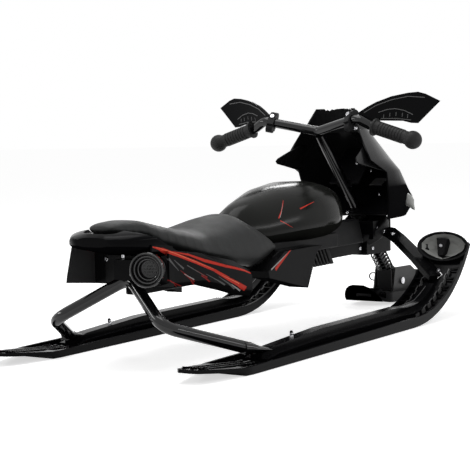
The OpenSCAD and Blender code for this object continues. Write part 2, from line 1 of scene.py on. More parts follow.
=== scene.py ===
import bmesh
import bpy
import json
import math
from mathutils import Matrix, Vector
from mathutils.bvhtree import BVHTree

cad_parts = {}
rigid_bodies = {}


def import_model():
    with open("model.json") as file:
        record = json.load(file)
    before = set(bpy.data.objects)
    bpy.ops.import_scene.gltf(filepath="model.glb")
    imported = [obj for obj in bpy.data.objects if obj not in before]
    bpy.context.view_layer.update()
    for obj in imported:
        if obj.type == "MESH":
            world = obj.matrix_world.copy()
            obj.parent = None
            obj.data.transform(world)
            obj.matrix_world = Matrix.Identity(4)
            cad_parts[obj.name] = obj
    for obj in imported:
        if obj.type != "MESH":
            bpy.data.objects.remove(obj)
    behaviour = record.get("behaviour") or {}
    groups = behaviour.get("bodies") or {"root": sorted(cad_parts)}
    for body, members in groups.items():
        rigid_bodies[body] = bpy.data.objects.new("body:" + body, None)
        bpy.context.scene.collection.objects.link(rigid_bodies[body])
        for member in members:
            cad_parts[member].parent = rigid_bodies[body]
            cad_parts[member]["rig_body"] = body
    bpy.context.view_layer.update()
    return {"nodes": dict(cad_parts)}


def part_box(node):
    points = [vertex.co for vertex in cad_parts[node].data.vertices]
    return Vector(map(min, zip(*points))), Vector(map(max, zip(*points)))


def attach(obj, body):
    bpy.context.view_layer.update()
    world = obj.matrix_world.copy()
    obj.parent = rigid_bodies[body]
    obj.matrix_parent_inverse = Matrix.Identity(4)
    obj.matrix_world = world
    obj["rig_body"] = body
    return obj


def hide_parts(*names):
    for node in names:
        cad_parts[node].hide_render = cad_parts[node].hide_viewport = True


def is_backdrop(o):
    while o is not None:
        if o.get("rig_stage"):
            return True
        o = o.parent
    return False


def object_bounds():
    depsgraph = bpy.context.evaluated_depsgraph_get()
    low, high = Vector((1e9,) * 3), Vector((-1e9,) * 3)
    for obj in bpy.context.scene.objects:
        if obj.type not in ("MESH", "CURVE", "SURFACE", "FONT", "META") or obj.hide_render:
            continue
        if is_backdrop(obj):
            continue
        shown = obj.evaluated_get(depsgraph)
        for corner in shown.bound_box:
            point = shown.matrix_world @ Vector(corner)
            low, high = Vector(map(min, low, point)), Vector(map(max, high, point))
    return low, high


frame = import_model()
scene = bpy.context.scene

# Everything is in metres, in the sled's own frame: +X forward, +Y left, +Z up

# Short ways to make shader nodes


def node(nodes, kind, **settings):
    made = nodes.new("ShaderNode" + kind)
    for name, value in settings.items():
        setattr(made, name, value)
    return made


def maths(nodes, links, operation, first, second=None):
    made = node(nodes, "Math", operation=operation)
    for index, value in enumerate((first, second)):
        if isinstance(value, (int, float)):
            made.inputs[index].default_value = value
        elif value is not None:
            links.new(value, made.inputs[index])
    return made.outputs[0]


def noise(nodes, links, place, scale, detail):
    made = node(nodes, "TexNoise")
    made.inputs["Scale"].default_value = scale
    made.inputs["Detail"].default_value = detail
    links.new(place, made.inputs["Vector"])
    return made.outputs["Fac"]


def ranged(nodes, links, value, fromLow, fromHigh, toLow, toHigh):
    made = node(nodes, "MapRange")
    for name, number in (("From Min", fromLow), ("From Max", fromHigh), ("To Min", toLow), ("To Max", toHigh)):
        made.inputs[name].default_value = number
    links.new(value, made.inputs["Value"])
    return made.outputs["Result"]


def blend(nodes, links, share, first, second):
    made = node(nodes, "Mix", data_type="RGBA")
    links.new(share, made.inputs["Factor"])
    for name, value in (("A", first), ("B", second)):
        if isinstance(value, tuple):
            made.inputs[name].default_value = value
        else:
            links.new(value, made.inputs[name])
    return made.outputs["Result"]


# Camera, lamps and floor

cameraValues = {
    "place": (-2.7935, -1.811, 0.480),
    "azimuth": 34.574,  # degrees from +X towards +Y
    "down": 4.662,
    "roll": -1.765,
    "lens": 114.9,
    "sensor": 36.0,
    "farthest": 50,
}


def makeCamera(values):
    azimuth, down, roll = (math.radians(values[k]) for k in ("azimuth", "down", "roll"))
    ahead = Vector((math.cos(down) * math.cos(azimuth), math.cos(down) * math.sin(azimuth), -math.sin(down)))
    right = Vector((math.sin(azimuth), -math.cos(azimuth), 0))
    up = right.cross(ahead)
    tiltedRight = math.cos(roll) * right + math.sin(roll) * up
    tiltedUp = math.cos(roll) * up - math.sin(roll) * right
    data = bpy.data.cameras.new("viewCamera")
    data.lens = values["lens"]
    data.sensor_width = values["sensor"]
    data.clip_end = values["farthest"]
    camera = bpy.data.objects.new("viewCamera", data)
    turn = Matrix((tiltedRight, tiltedUp, -ahead)).transposed()
    camera.matrix_world = Matrix.Translation(values["place"]) @ turn.to_4x4()
    scene.collection.objects.link(camera)
    scene.camera = camera


studioValues = {
    "ambient": 0.42,
    "floorSize": 30.0,
    "floorColour": (0.86, 0.86, 0.86, 1),
    "floorLift": 0.62,
    "floorDrop": 0.0005,
    # name: place, aimed at, length and breadth, power in watts
    "lamps": {
        "top": ((-0.2, 0.4, 2.6), (0, 0, 0.2), (2.0, 1.4), 26),
        "left": ((-1.9, 2.3, 1.5), (0, 0, 0.25), (1.6, 0.22), 14),
        "right": ((0.5, -2.6, 1.3), (0.1, 0, 0.25), (2.2, 0.16), 12),
        "front": ((2.4, 0.9, 1.6), (0.2, 0, 0.3), (1.4, 0.35), 14),
    },
}


# 1 for what the camera, a mirror or a glass sees, 0 for what lights the object
def isSeenDirectly(nodes, links):
    rays = node(nodes, "LightPath").outputs
    seen = maths(nodes, links, "MAXIMUM", rays["Is Camera Ray"], rays["Is Glossy Ray"])
    return maths(nodes, links, "MAXIMUM", seen, rays["Is Transmission Ray"])


def makeWorld(values):
    world = bpy.data.worlds.new("studio")
    world.use_nodes = True
    nodes, links = world.node_tree.nodes, world.node_tree.links
    nodes.clear()
    mix = node(nodes, "MixShader")
    links.new(isSeenDirectly(nodes, links), mix.inputs[0])
    for index, strength in ((1, values["ambient"]), (2, 1)):
        background = node(nodes, "Background")
        background.inputs["Color"].default_value = (1, 1, 1, 1)
        background.inputs["Strength"].default_value = strength
        links.new(background.outputs[0], mix.inputs[index])
    links.new(mix.outputs[0], node(nodes, "OutputWorld").inputs[0])
    scene.world = world


def makeLamps(values):
    for name, (place, aim, size, power) in values["lamps"].items():
        data = bpy.data.lights.new(name + "Lamp", "AREA")
        data.shape = "RECTANGLE"
        data.size, data.size_y = size
        data.energy = power
        lamp = bpy.data.objects.new(name + "Lamp", data)
        lamp.location = place
        lamp.rotation_euler = (Vector(aim) - Vector(place)).to_track_quat("-Z", "Y").to_euler()
        scene.collection.objects.link(lamp)


def makeFloor(values):
    bm = bmesh.new()
    bmesh.ops.create_grid(bm, x_segments=1, y_segments=1, size=values["floorSize"] / 2)
    bmesh.ops.translate(bm, verts=bm.verts, vec=(0, 0, -values["floorDrop"]))
    data = bpy.data.meshes.new("floor")
    bm.to_mesh(data)
    bm.free()
    floor = bpy.data.objects.new("floor", data)
    scene.collection.objects.link(floor)
    material = bpy.data.materials.new("paleFloor")
    material.use_nodes = True
    nodes, links = material.node_tree.nodes, material.node_tree.links
    nodes.clear()
    diffuse, glow, add = (node(nodes, kind) for kind in ("BsdfDiffuse", "Emission", "AddShader"))
    diffuse.inputs["Color"].default_value = values["floorColour"]
    lift = maths(nodes, links, "MULTIPLY", isSeenDirectly(nodes, links), values["floorLift"])
    links.new(lift, glow.inputs["Strength"])
    for index, shader in enumerate((diffuse, glow)):
        links.new(shader.outputs[0], add.inputs[index])
    links.new(add.outputs[0], node(nodes, "OutputMaterial").inputs[0])
    data.materials.append(material)
    floor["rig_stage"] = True


makeCamera(cameraValues)
makeWorld(studioValues)
makeLamps(studioValues)
makeFloor(studioValues)
scene.view_settings.view_transform = "Standard"
print("camera, lamps and floor are in place")

# Finishes: colour, roughness, how far the roughness wanders, grain's scale and depth, specular level

finishValues = {
    "glossBody": ((0.0025, 0.0025, 0.003), 0.13, 0.05, 260, 0.03, 0.035),
    "satinRunner": ((0.003, 0.003, 0.0035), 0.18, 0.06, 420, 0.06, 0.05),
    "grainedPlastic": ((0.008, 0.008, 0.0085), 0.48, 0.1, 900, 0.25, 0.12),
    "cupLining": ((0.36, 0.364, 0.35), 0.38, 0.1, 500, 0.2, 0.35),
    "darkSteel": ((0.003, 0.003, 0.0035), 0.32, 0.08, 300, 0.05, 0.04),
    "cowlSkin": ((0.0065, 0.0065, 0.007), 0.22, 0.06, 260, 0.03, 0.12),
    # pale grey: painted highlights on the runners' lines, the guards' ribs and the exhaust's rims, and the bracket
    # plate's own light colour
    "paleGreyAndHighlight": ((0.095, 0.095, 0.095), 0.2, 0.06, 300, 0.02, 0.5),
    "frameEnamel": ((0.003, 0.003, 0.0035), 0.07, 0.03, 180, 0.02, 0.42),
    "seatCover": ((0.0095, 0.01, 0.01), 0.52, 0.08, 520, 0.3, 0.25),
    "gripRubber": ((0.0085, 0.0085, 0.0085), 0.55, 0.08, 1100, 0.3, 0.25),
    "brightSteel": ((0.6, 0.6, 0.62), 0.24, 0.14, 1500, 0.06, 0.5),
    "greyPlastic": ((0.026, 0.026, 0.026), 0.42, 0.1, 700, 0.18, 0.2),
    "springCoat": ((0.004, 0.004, 0.004), 0.18, 0.08, 300, 0.06, 0.35),
    "tankSkin": ((0.0095, 0.0098, 0.0088), 0.19, 0.05, 240, 0.03, 0.11),
    "panelSkin": ((0.006, 0.006, 0.0065), 0.19, 0.06, 240, 0.03, 0.04),
}
# What only some finishes have: a metal's share, a cell pattern, the heights over which the gloss comes in (painted
# shade: below them the cowl's lower wall loses its gloss and looks shaded)
finishExtras = {
    "cowlSkin": {"paintedShadeFrom": (0.295, 0.405)},
    "seatCover": {"cells": True},
    "brightSteel": {"metallic": 1.0},
}
patternValues = {
    "cloud": (14, 4),  # scale and detail of the colour's drift
    "drift": (0.82, 1.25),  # darkest and lightest share of the colour
    "scuff": (55, 6),
    "smoothest": 0.03,
    "grainDetail": 3,
    "bump": 0.0006,
}


def makeFinish(name, values, extras):
    colour, rough, wander, grainScale, depth, specular = values
    material = bpy.data.materials.new(name)
    material.use_nodes = True
    nodes, links = material.node_tree.nodes, material.node_tree.links
    shader = nodes["Principled BSDF"]
    shader.inputs["Metallic"].default_value = extras.get("metallic", 0.0)
    shader.inputs["Specular IOR Level"].default_value = specular
    place = node(nodes, "TexCoord").outputs["Object"]
    # Slow drift of the colour, as of handled plastic
    cloud = noise(nodes, links, place, *patternValues["cloud"])
    darkest, lightest = ((*(min(1, c * share) for c in colour), 1) for share in patternValues["drift"])
    links.new(blend(nodes, links, cloud, darkest, lightest), shader.inputs["Base Color"])
    scuff = noise(nodes, links, place, *patternValues["scuff"])
    low, high = max(patternValues["smoothest"], rough - wander), rough + wander
    links.new(ranged(nodes, links, scuff, 0, 1, low, high), shader.inputs["Roughness"])
    # Painted shade: the gloss fades out below a height, so the cowl's lower wall looks shaded
    if "paintedShadeFrom" in extras:
        height = node(nodes, "SeparateXYZ")
        links.new(place, height.inputs[0])
        gloss = ranged(nodes, links, height.outputs["Z"], *extras["paintedShadeFrom"], 0, specular)
        links.new(gloss, shader.inputs["Specular IOR Level"])
    if extras.get("cells"):
        cells = node(nodes, "TexVoronoi", feature="SMOOTH_F1")
        cells.inputs["Scale"].default_value = grainScale
        links.new(place, cells.inputs["Vector"])
        grain = cells.outputs["Distance"]
    else:
        grain = noise(nodes, links, place, grainScale, patternValues["grainDetail"])
    bump = node(nodes, "Bump")
    bump.inputs["Strength"].default_value = depth
    bump.inputs["Distance"].default_value = patternValues["bump"]
    links.new(grain, bump.inputs["Height"])
    links.new(bump.outputs["Normal"], shader.inputs["Normal"])
    return material


finishes = {name: makeFinish(name, values, finishExtras.get(name, {})) for name, values in finishValues.items()}

# Printed stripes seen from the side: from (x, z) to (x, z), width at each end, colour

stripeColours = {
    "red": (0.62, 0.045, 0.03, 1),
    "deepRed": (0.26, 0.02, 0.018, 1),
    "ember": (0.85, 0.22, 0.12, 1),
    "silver": (0.42, 0.41, 0.40, 1),
    "dimSilver": (0.12, 0.12, 0.12, 1),
}
panelStripes = [
    ((-0.580, 0.2345), (-0.550, 0.226), 0.002, 0.007, "red"),
    ((-0.552, 0.227), (-0.510, 0.213), 0.007, 0.006, "red"),
    ((-0.512, 0.214), (-0.461, 0.196), 0.006, 0.006, "red"),
    ((-0.463, 0.197), (-0.395, 0.171), 0.006, 0.005, "red"),
    ((-0.397, 0.172), (-0.352, 0.152), 0.005, 0.004, "red"),
    ((-0.353, 0.152), (-0.308, 0.123), 0.004, 0.002, "deepRed"),
    ((-0.570, 0.2330), (-0.515, 0.2165), 0.0005, 0.0015, "ember"),
    ((-0.515, 0.2165), (-0.400, 0.175), 0.0015, 0.0005, "ember"),
    ((-0.525, 0.221), (-0.475, 0.210), 0.001, 0.004, "red"),
    ((-0.477, 0.211), (-0.421, 0.192), 0.004, 0.006, "red"),
    ((-0.423, 0.193), (-0.356, 0.175), 0.006, 0.005, "red"),
    ((-0.358, 0.176), (-0.293, 0.160), 0.005, 0.004, "red"),
    ((-0.295, 0.160), (-0.256, 0.148), 0.004, 0.002, "red"),
    ((-0.397, 0.169), (-0.345, 0.146), 0.001, 0.008, "red"),
    ((-0.347, 0.147), (-0.296, 0.124), 0.008, 0.010, "red"),
    ((-0.375, 0.160), (-0.320, 0.137), 0.0005, 0.002, "ember"),
    ((-0.500, 0.182), (-0.455, 0.155), 0.001, 0.002, "deepRed"),
    ((-0.492, 0.176), (-0.450, 0.147), 0.001, 0.003, "deepRed"),
    ((-0.438, 0.166), (-0.409, 0.150), 0.003, 0.002, "deepRed"),
    ((-0.545, 0.172), (-0.501, 0.150), 0.003, 0.001, "deepRed"),
    ((-0.535, 0.166), (-0.478, 0.146), 0.001, 0.002, "deepRed"),
    ((-0.455, 0.178), (-0.420, 0.160), 0.001, 0.003, "deepRed"),
    ((-0.489, 0.174), (-0.460, 0.160), 0.001, 0.002, "silver"),
    ((-0.423, 0.167), (-0.363, 0.139), 0.001, 0.003, "dimSilver"),
    ((-0.553, 0.221), (-0.541, 0.203), 0.008, 0.001, "silver"),
    ((-0.534, 0.208), (-0.505, 0.182), 0.005, 0.001, "dimSilver"),
    ((-0.518, 0.204), (-0.490, 0.184), 0.001, 0.004, "dimSilver"),
    ((-0.480, 0.190), (-0.430, 0.165), 0.002, 0.001, "dimSilver"),
    ((-0.385, 0.158), (-0.330, 0.128), 0.001, 0.004, "dimSilver"),
    ((-0.345, 0.138), (-0.310, 0.121), 0.001, 0.003, "silver"),
]
tankStripes = [
    ((-0.068, 0.288), (-0.107, 0.252), 0.0006, 0.0022, "red"),
    ((-0.103, 0.253), (-0.076, 0.282), 0.0010, 0.0002, "silver"),
    ((-0.105, 0.247), (-0.077, 0.230), 0.0022, 0.0006, "red"),
    ((0.013, 0.280), (-0.040, 0.268), 0.0006, 0.0028, "red"),
]
shieldStripes = [
    ((-0.118, 0.190), (-0.203, 0.153), 0.002, 0.003, "silver"),
    ((-0.105, 0.199), (-0.187, 0.152), 0.001, 0.008, "red"),
]


printValues = {
    # lean of a face from the sled's middle, in metres: above the first it is outer, below the second inner
    "outer": 0.006,
    "inner": -0.03,
    # painted light: the lighter grey given to inner faces, which are the same dark plastic as the outer skin
    "innerPaintedLight": (0.055, 0.055, 0.056, 1),
    # painted shade under things: faces looking down past this limit have their gloss taken off
    "underside": -0.30,  # a face that looks down more than this has no gloss
}


# Lays each stripe over the base colour where the surface's side view lies inside it. Inner faces get painted light, a
# lighter grey, and faces that look down lose their gloss as painted shade.
def printStripes(material, stripes, values):
    nodes, links = material.node_tree.nodes, material.node_tree.links
    shader = nodes["Principled BSDF"]
    gloss = shader.inputs["Specular IOR Level"]

    def reckon(operation, first, second=None):
        return maths(nodes, links, operation, first, second)

    place, facing = node(nodes, "SeparateXYZ"), node(nodes, "SeparateXYZ")
    links.new(node(nodes, "TexCoord").outputs["Object"], place.inputs[0])
    links.new(node(nodes, "NewGeometry").outputs["Normal"], facing.inputs[0])
    x, y, z = place.outputs
    outward = reckon("MULTIPLY", y, facing.outputs["Y"])
    outside = reckon("GREATER_THAN", outward, values["outer"])
    # Painted shade: faces that look down more than the limit lose their gloss, so undersides look shaded
    clearOfPaintedShade = reckon("GREATER_THAN", facing.outputs["Z"], values["underside"])
    links.new(reckon("MULTIPLY", clearOfPaintedShade, gloss.default_value), gloss)
    colour = shader.inputs["Base Color"].links[0].from_socket
    # Painted light: inner faces take a lighter grey than the outer skin
    colour = blend(nodes, links, reckon("LESS_THAN", outward, values["inner"]), colour, values["innerPaintedLight"])
    for (x0, z0), (x1, z1), startWidth, endWidth, tint in stripes:
        length = math.hypot(x1 - x0, z1 - z0)
        ux, uz = (x1 - x0) / length, (z1 - z0) / length
        dx, dz = reckon("SUBTRACT", x, x0), reckon("SUBTRACT", z, z0)
        run = reckon("ADD", reckon("MULTIPLY", dx, ux), reckon("MULTIPLY", dz, uz))
        off = reckon("SUBTRACT", reckon("MULTIPLY", dx, uz), reckon("MULTIPLY", dz, ux))
        half = ranged(nodes, links, run, 0, length, startWidth / 2, endWidth / 2)
        mask = reckon("LESS_THAN", reckon("ABSOLUTE", off), half)
        for limit in (reckon("GREATER_THAN", run, 0.0), reckon("LESS_THAN", run, length), outside):
            mask = reckon("MULTIPLY", mask, limit)
        colour = blend(nodes, links, mask, colour, stripeColours[tint])
    links.new(colour, shader.inputs["Base Color"])


# Printed finishes: the plain finish below, and the stripes on it
printedFinishes = {
    "sideSkin": ("panelSkin", panelStripes),
    "fenderSkin": ("glossBody", panelStripes[:2]),
    "tankPrint": ("tankSkin", tankStripes),
    "shieldSkin": ("panelSkin", shieldStripes),
}
for finishName, (base, stripes) in printedFinishes.items():
    finishes[finishName] = makeFinish(finishName, finishValues[base], {})
    printStripes(finishes[finishName], stripes, printValues)
print("finishes are mixed")

# Common steps for a piece


def finishPiece(name, bm, body, finish, sharp=35, bevel=0.0, recalc=True):
    if recalc:
        bmesh.ops.recalc_face_normals(bm, faces=bm.faces)
    data = bpy.data.meshes.new(name)
    bm.to_mesh(data)
    bm.free()
    if "custom_normal" in data.attributes:
        data.attributes.remove(data.attributes["custom_normal"])
    data.shade_smooth()
    data.set_sharp_from_angle(angle=math.radians(sharp))
    data.materials.clear()
    data.materials.append(finishes[finish])
    piece = bpy.data.objects.new(name, data)
    scene.collection.objects.link(piece)
    if bevel:
        edge = piece.modifiers.new("edges", "BEVEL")
        edge.width = bevel
        edge.segments = 3
        edge.limit_method = "ANGLE"
        edge.angle_limit = math.radians(sharp)
        piece.modifiers.new("shading", "WEIGHTED_NORMAL").keep_sharp = True
    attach(piece, body)
    return piece


def bodyOf(nodeName):
    return frame["nodes"][nodeName]["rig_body"]


mergeValues = {"nearest": 0.00002, "flat": 0.7}  # metres, degrees


def mergedCopy(nodeName):
    bm = bmesh.new()
    bm.from_mesh(frame["nodes"][nodeName].data)
    bmesh.ops.remove_doubles(bm, verts=bm.verts, dist=mergeValues["nearest"])
    flat = math.radians(mergeValues["flat"])
    bmesh.ops.dissolve_limit(bm, angle_limit=flat, verts=bm.verts, edges=bm.edges)
    return bm


def camel(nodeName):
    first, *rest = nodeName.split("_")
    return first + "".join(word.capitalize() for word in rest)


# Reads a table of rows (place, value, ...) at a place between its rows
def between(rows, at):
    for lower, upper in zip(rows, rows[1:]):
        if at <= upper[0] or upper is rows[-1]:
            share = min(1.0, max(0.0, (at - lower[0]) / (upper[0] - lower[0])))
            return [a + (b - a) * share for a, b in zip(lower[1:], upper[1:])]


# Takes off what lies on the normal's side of a plane, and closes the cut
def cutAway(bm, place, normal):
    geom = bm.verts[:] + bm.edges[:] + bm.faces[:]
    made = bmesh.ops.bisect_plane(bm, geom=geom, plane_co=place, plane_no=normal, clear_outer=True,
                                  dist=0.00001)
    edges = [g for g in made["geom_cut"] if isinstance(g, bmesh.types.BMEdge)]
    bmesh.ops.holes_fill(bm, edges=edges, sides=0)


# Planes that trim a carried-over form: a point and the direction that goes
trims = {
    "tail_fender": (((-0.514, 0, 0.2245), (0.447, 0, 0.894)),),
    "side_panel_left": (((-0.583, 0, 0.232), (-0.954, 0, 0.299)),),
    "side_panel_right": (((-0.583, 0, 0.232), (-0.954, 0, 0.299)),),
    "steering_head": (((0, 0, 0.1276), (0, 0, -1)),),
}
shapeValues = {
    # along the sled: how much the tank's crown is drawn in; from which share of its height, how sharply
    "tankCrown": ((-0.22, 0.80), (-0.14, 0.66), (-0.05, 0.42), (0.05, 0.24), (0.18, 0.10)),
    "tankFrom": 0.12,
    "tankCurve": 1.3,
    # along the sled: how far the fender's deck is raised, how far its edges fall
    "fenderDeck": ((-0.64, 0.001, 0.014), (-0.60, 0.005, 0.011), (-0.54, 0.007, 0.005), (-0.48, 0.0, 0.0)),
    "fenderFrom": 0.35,
    # the windshield's lower edge goes forward, sideways (a share) and down, inside the cowl's rim
    "shieldFoot": (0.0068, 0.05, 0.008),
    "shieldTop": (0.032, 0.010),  # half width and lift of its middle
    # along the sled: how far the front ski's tail is raised
    "skiTail": ((0.375, 0.006), (0.42, 0.006), (0.50, 0.0)),
}


def reshape(nodeName, bm, values):
    low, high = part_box(nodeName)
    for v in bm.verts:
        share = (v.co.z - low.z) / (high.z - low.z)
        if nodeName == "tank":
            over = max(0.0, share - values["tankFrom"]) / (1 - values["tankFrom"])
            v.co.y *= 1 - between(values["tankCrown"], v.co.x)[0] * over ** values["tankCurve"]
        elif nodeName == "tail_fender":
            lift, fall = between(values["fenderDeck"], v.co.x)
            over = max(0.0, share - values["fenderFrom"]) / (1 - values["fenderFrom"])
            v.co.z += (lift - fall * (v.co.y / high.y) ** 2) * over
        elif nodeName == "windshield":
            ahead, aside, down = values["shieldFoot"]
            half, lift = values["shieldTop"]
            v.co.x += ahead * (1 - share) * (v.co.x - low.x) / (high.x - low.x)
            v.co.y *= 1 + aside * (1 - share)
            v.co.z += lift * share ** 2 * max(0.0, 1 - (v.co.y / half) ** 2) - down * (1 - share)
        elif nodeName == "front_ski":
            v.co.z += between(values["skiTail"], v.co.x)[0]


def dressNode(nodeName, finish, bevel):
    bm = mergedCopy(nodeName)
    for place, normal in trims.get(nodeName, ()):
        cutAway(bm, place, normal)
    reshape(nodeName, bm, shapeValues)
    piece = finishPiece(camel(nodeName), bm, bodyOf(nodeName), finish, bevel=bevel, recalc=False)
    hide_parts(nodeName)


# Nodes whose form is kept: finish, material slot, width of the rounded edges
dressedNodes = {
    "ski_left ski_right": ("satinRunner", "runner_plastic", 0.0014),
    "toe_cup_left toe_cup_right": ("grainedPlastic", "matte_plastic", 0.0012),
    "rear_arch": ("frameEnamel", "frame_steel", 0.001),
    "backbone steering_head": ("darkSteel", "frame_steel", 0.003),
    "rear_bracket": ("darkSteel", "frame_steel", 0.002),
    "floor_tray": ("grainedPlastic", "matte_plastic", 0.003),
    "tail_fender": ("fenderSkin", "body_plastic", 0.003),
    "tail_wall": ("grainedPlastic", "matte_plastic", 0.001),
    "tank": ("tankPrint", "body_plastic", 0.003),
    "side_panel_left side_panel_right": ("sideSkin", "panel_plastic", 0.003),
    "leg_shield_left leg_shield_right": ("shieldSkin", "panel_plastic", 0.003),
    "ribbed_block": ("grainedPlastic", "matte_plastic", 0.001),
    "column": ("frameEnamel", "frame_steel", 0.001),
    "upper_collar": ("darkSteel", "frame_steel", 0.001),
    "ski_bracket": ("greyPlastic", "grey_plastic", 0.001),
    "pivot_bolt": ("brightSteel", "bright_steel", 0.001),
    "front_ski": ("satinRunner", "runner_plastic", 0.0016),
    "handlebar": ("frameEnamel", "frame_steel", 0.001),
    "bar_clamp_left bar_clamp_right": ("grainedPlastic", "matte_plastic", 0.002),
    "front_arm_left front_arm_right": ("satinRunner", "matte_plastic", 0.003),
    "cowl": ("cowlSkin", "body_plastic", 0.0015),
    "windshield": ("grainedPlastic", "matte_plastic", 0.0015),
    "cowl_bracket": ("darkSteel", "matte_plastic", 0.0015),
}
for nodeNames, (finish, slot, bevel) in dressedNodes.items():
    for nodeName in nodeNames.split():
        dressNode(nodeName, finish, bevel)
print("carried-over forms are dressed")

# Small shapes that many pieces use


def addBox(bm, low, high):
    made = bmesh.ops.create_cube(bm, size=1)
    verts = made["verts"]
    low, high = Vector(low), Vector(high)
    bmesh.ops.scale(bm, verts=verts, vec=high - low)
    bmesh.ops.translate(bm, verts=verts, vec=(low + high) / 2)
    return verts


# Spins a profile of (radius, along) about its own Z, then places it with turn
def addLathe(bm, profile, turn, steps=32):
    verts = [bm.verts.new((radius, 0, along)) for radius, along in profile]
    edges = [bm.edges.new(pair) for pair in zip(verts, verts[1:])]
    before = set(bm.verts) - set(verts)
    bmesh.ops.spin(bm, geom=verts + edges, cent=(0, 0, 0), axis=(0, 0, 1), angle=math.tau, steps=steps,
                   use_merge=True)
    made = [v for v in bm.verts if v not in before]
    bmesh.ops.remove_doubles(bm, verts=made, dist=0.00001)
    made = [v for v in bm.verts if v not in before]
    bmesh.ops.transform(bm, matrix=turn, verts=made)
    return made


def boltProfile(radius, height):
    return [(0.0, -0.0015), (radius, -0.0015), (radius, height * 0.55), (radius * 0.82, height), (radius * 0.5, height),
            (radius * 0.42, height * 0.45), (0.0, height * 0.45)]


def aimed(place, direction):
    return Matrix.Translation(place) @ Vector(direction).normalized().to_track_quat("Z", "Y").to_matrix().to_4x4()


# Runners: rails, ladder ribs and teeth on the CAD form

runnerValues = {
    "noseStart": 0.0985,
    "noseRadius": 0.335,
    "soleBack": -0.5555,
    "tailTip": -0.6725,
    "tailRise": 0.020,
    "slice": 0.02,  # longest straight stretch on the bent nose
    "floor": 0.0055,
    "channelRun": (-0.43, 6),  # start along the sled, end in degrees of the nose
    "channelRails": ((0.0385, 0.0018, 0.015), (0.0455, 0.0012, 0.010)),  # side place, thickness, height
    "rungTurn": (7, 44),  # degrees of the nose
    "rungPitch": 0.030,
    "rungSpan": (0.026, 0.0485),
    "rung": (0.0035, 0.0155),  # length, height
    "ledge": (0.004, 0.002, 0.0095),  # step ahead of its rung, length, height
    "teeth": (7, 0.0032, 0.0011),  # in a row, step sideways, step ahead
    "tooth": (0.001, 0.006, 0.007, 0.0016, 0.0105),  # first one's side place and step, length, width, height
    "tailFloor": 0.0045,
    "tailEnd": -0.462,
    # side place, start from the tip
    "tailRails": ((-0.036, 0.075), (-0.018, 0.016), (0.0, 0.016), (0.018, 0.016), (0.036, 0.075)),
    "tailRail": (0.0026, 0.0095),  # width, height
    "tailTooth": (0.0095, 0.3, 0.0045, 0.0056, 0.0118),  # pitch, first one's share of it, length, width, height
    "tailBars": (-0.640, 0.042, 0.004, 0.0092),  # first, pitch, length, height
    "tailBarWidths": (0.048, 0.076, 0.076, 0.076, 0.076),
    "crest": (22, 1.45, 0.0122, 30),  # pieces, degrees each, side place, pieces to the middle
    "crestLine": (0.0005, 0.0014, 0.003, 0.0008),  # overlap, width, depth, height over the surface
    "wave": (14, 0.0028, -0.0004, 0.0008, 0.0012, 0.0165),  # pieces, two side steps, overlap, width, height
}


# Lays a piece modelled flat, as (run, side, height), along the sole of a runner
def bendToSole(bm, verts, values, side):
    for v in verts:
        run, across, height = v.co
        over = max(0.0, run - values["noseStart"])
        angle = over / values["noseRadius"]
        if over:
            inner = values["noseRadius"] - height
            run = values["noseStart"] + inner * math.sin(angle)
            height = values["noseRadius"] - inner * math.cos(angle)
        behind = max(0.0, values["soleBack"] - run) / (values["soleBack"] - values["tailTip"])
        v.co = Vector((run, side + across, height + values["tailRise"] * behind))


def sliceAlong(bm, verts, start, end, pitch):
    count = max(1, round((end - start) / pitch))
    for k in range(1, count):
        place = (start + (end - start) * k / count, 0, 0)
        geom = verts + list({e for v in verts for e in v.link_edges}) + list({f for v in verts for f in v.link_faces})
        cut = bmesh.ops.bisect_plane(bm, geom=geom, plane_co=place, plane_no=(1, 0, 0))
        verts = list(set(verts) | {g for g in cut["geom_cut"] if isinstance(g, bmesh.types.BMVert)})
    return verts


def railOn(bm, values, side, start, length, across, wide, low, high):
    end = start + length
    verts = addBox(bm, (start, across - wide / 2, low), (end, across + wide / 2, high))
    if end > values["noseStart"]:
        verts = sliceAlong(bm, verts, max(start, values["noseStart"]), end, values["slice"])
    bendToSole(bm, verts, values, side)


def onSole(values, side, run, across, height):
    bm = bmesh.new()
    vert = bm.verts.new((run, across, height))
    bendToSole(bm, [vert], values, side)
    return vert.co.copy()


def nodeTree(nodeName):
    mesh = frame["nodes"][nodeName].data
    return BVHTree.FromPolygons([v.co for v in mesh.vertices], [p.vertices for p in mesh.polygons])


# Height of the runner's top surface over its sole
def surfaceHeight(tree, values, side, run, across, above=0.08):
    start = onSole(values, side, run, across, above)
    point = tree.ray_cast(start, onSole(values, side, run, across, 0) - start)[0]
    return above - (point - start).length if point else None


def noseRun(values, degrees):
    return values["noseStart"] + values["noseRadius"] * math.radians(degrees)


# Rails along the channel, and on the nose rungs on the inner half and rows of teeth on the outer
def addNoseRibs(bm, values, side):
    inward = -1 if side > 0 else 1
    floor, near, far = values["floor"], *values["rungSpan"]
    middle, span = inward * (near + far) / 2, far - near
    start, degrees = values["channelRun"]
    for across, thick, high in values["channelRails"]:
        for sign in (1, -1):
            railOn(bm, values, side, start, noseRun(values, degrees) - start, sign * across, thick, floor, high)
    first, last = (noseRun(values, a) for a in values["rungTurn"])
    count, sideStep, aheadStep = values["teeth"]
    aside, ahead, toothLength, toothWide, toothHigh = values["tooth"]
    for k in range(int((last - first) / values["rungPitch"]) + 1):
        run = first + k * values["rungPitch"]
        length, high = values["rung"]
        railOn(bm, values, side, run, length, middle, span, floor, high)
        step, length, high = values["ledge"]
        railOn(bm, values, side, run + step, length, -middle, span, floor, high)
        for tooth in range(count):
            across = -inward * (near + aside + tooth * sideStep)
            start = run + ahead + tooth * aheadStep
            railOn(bm, values, side, start, toothLength, across, toothWide, floor, toothHigh)


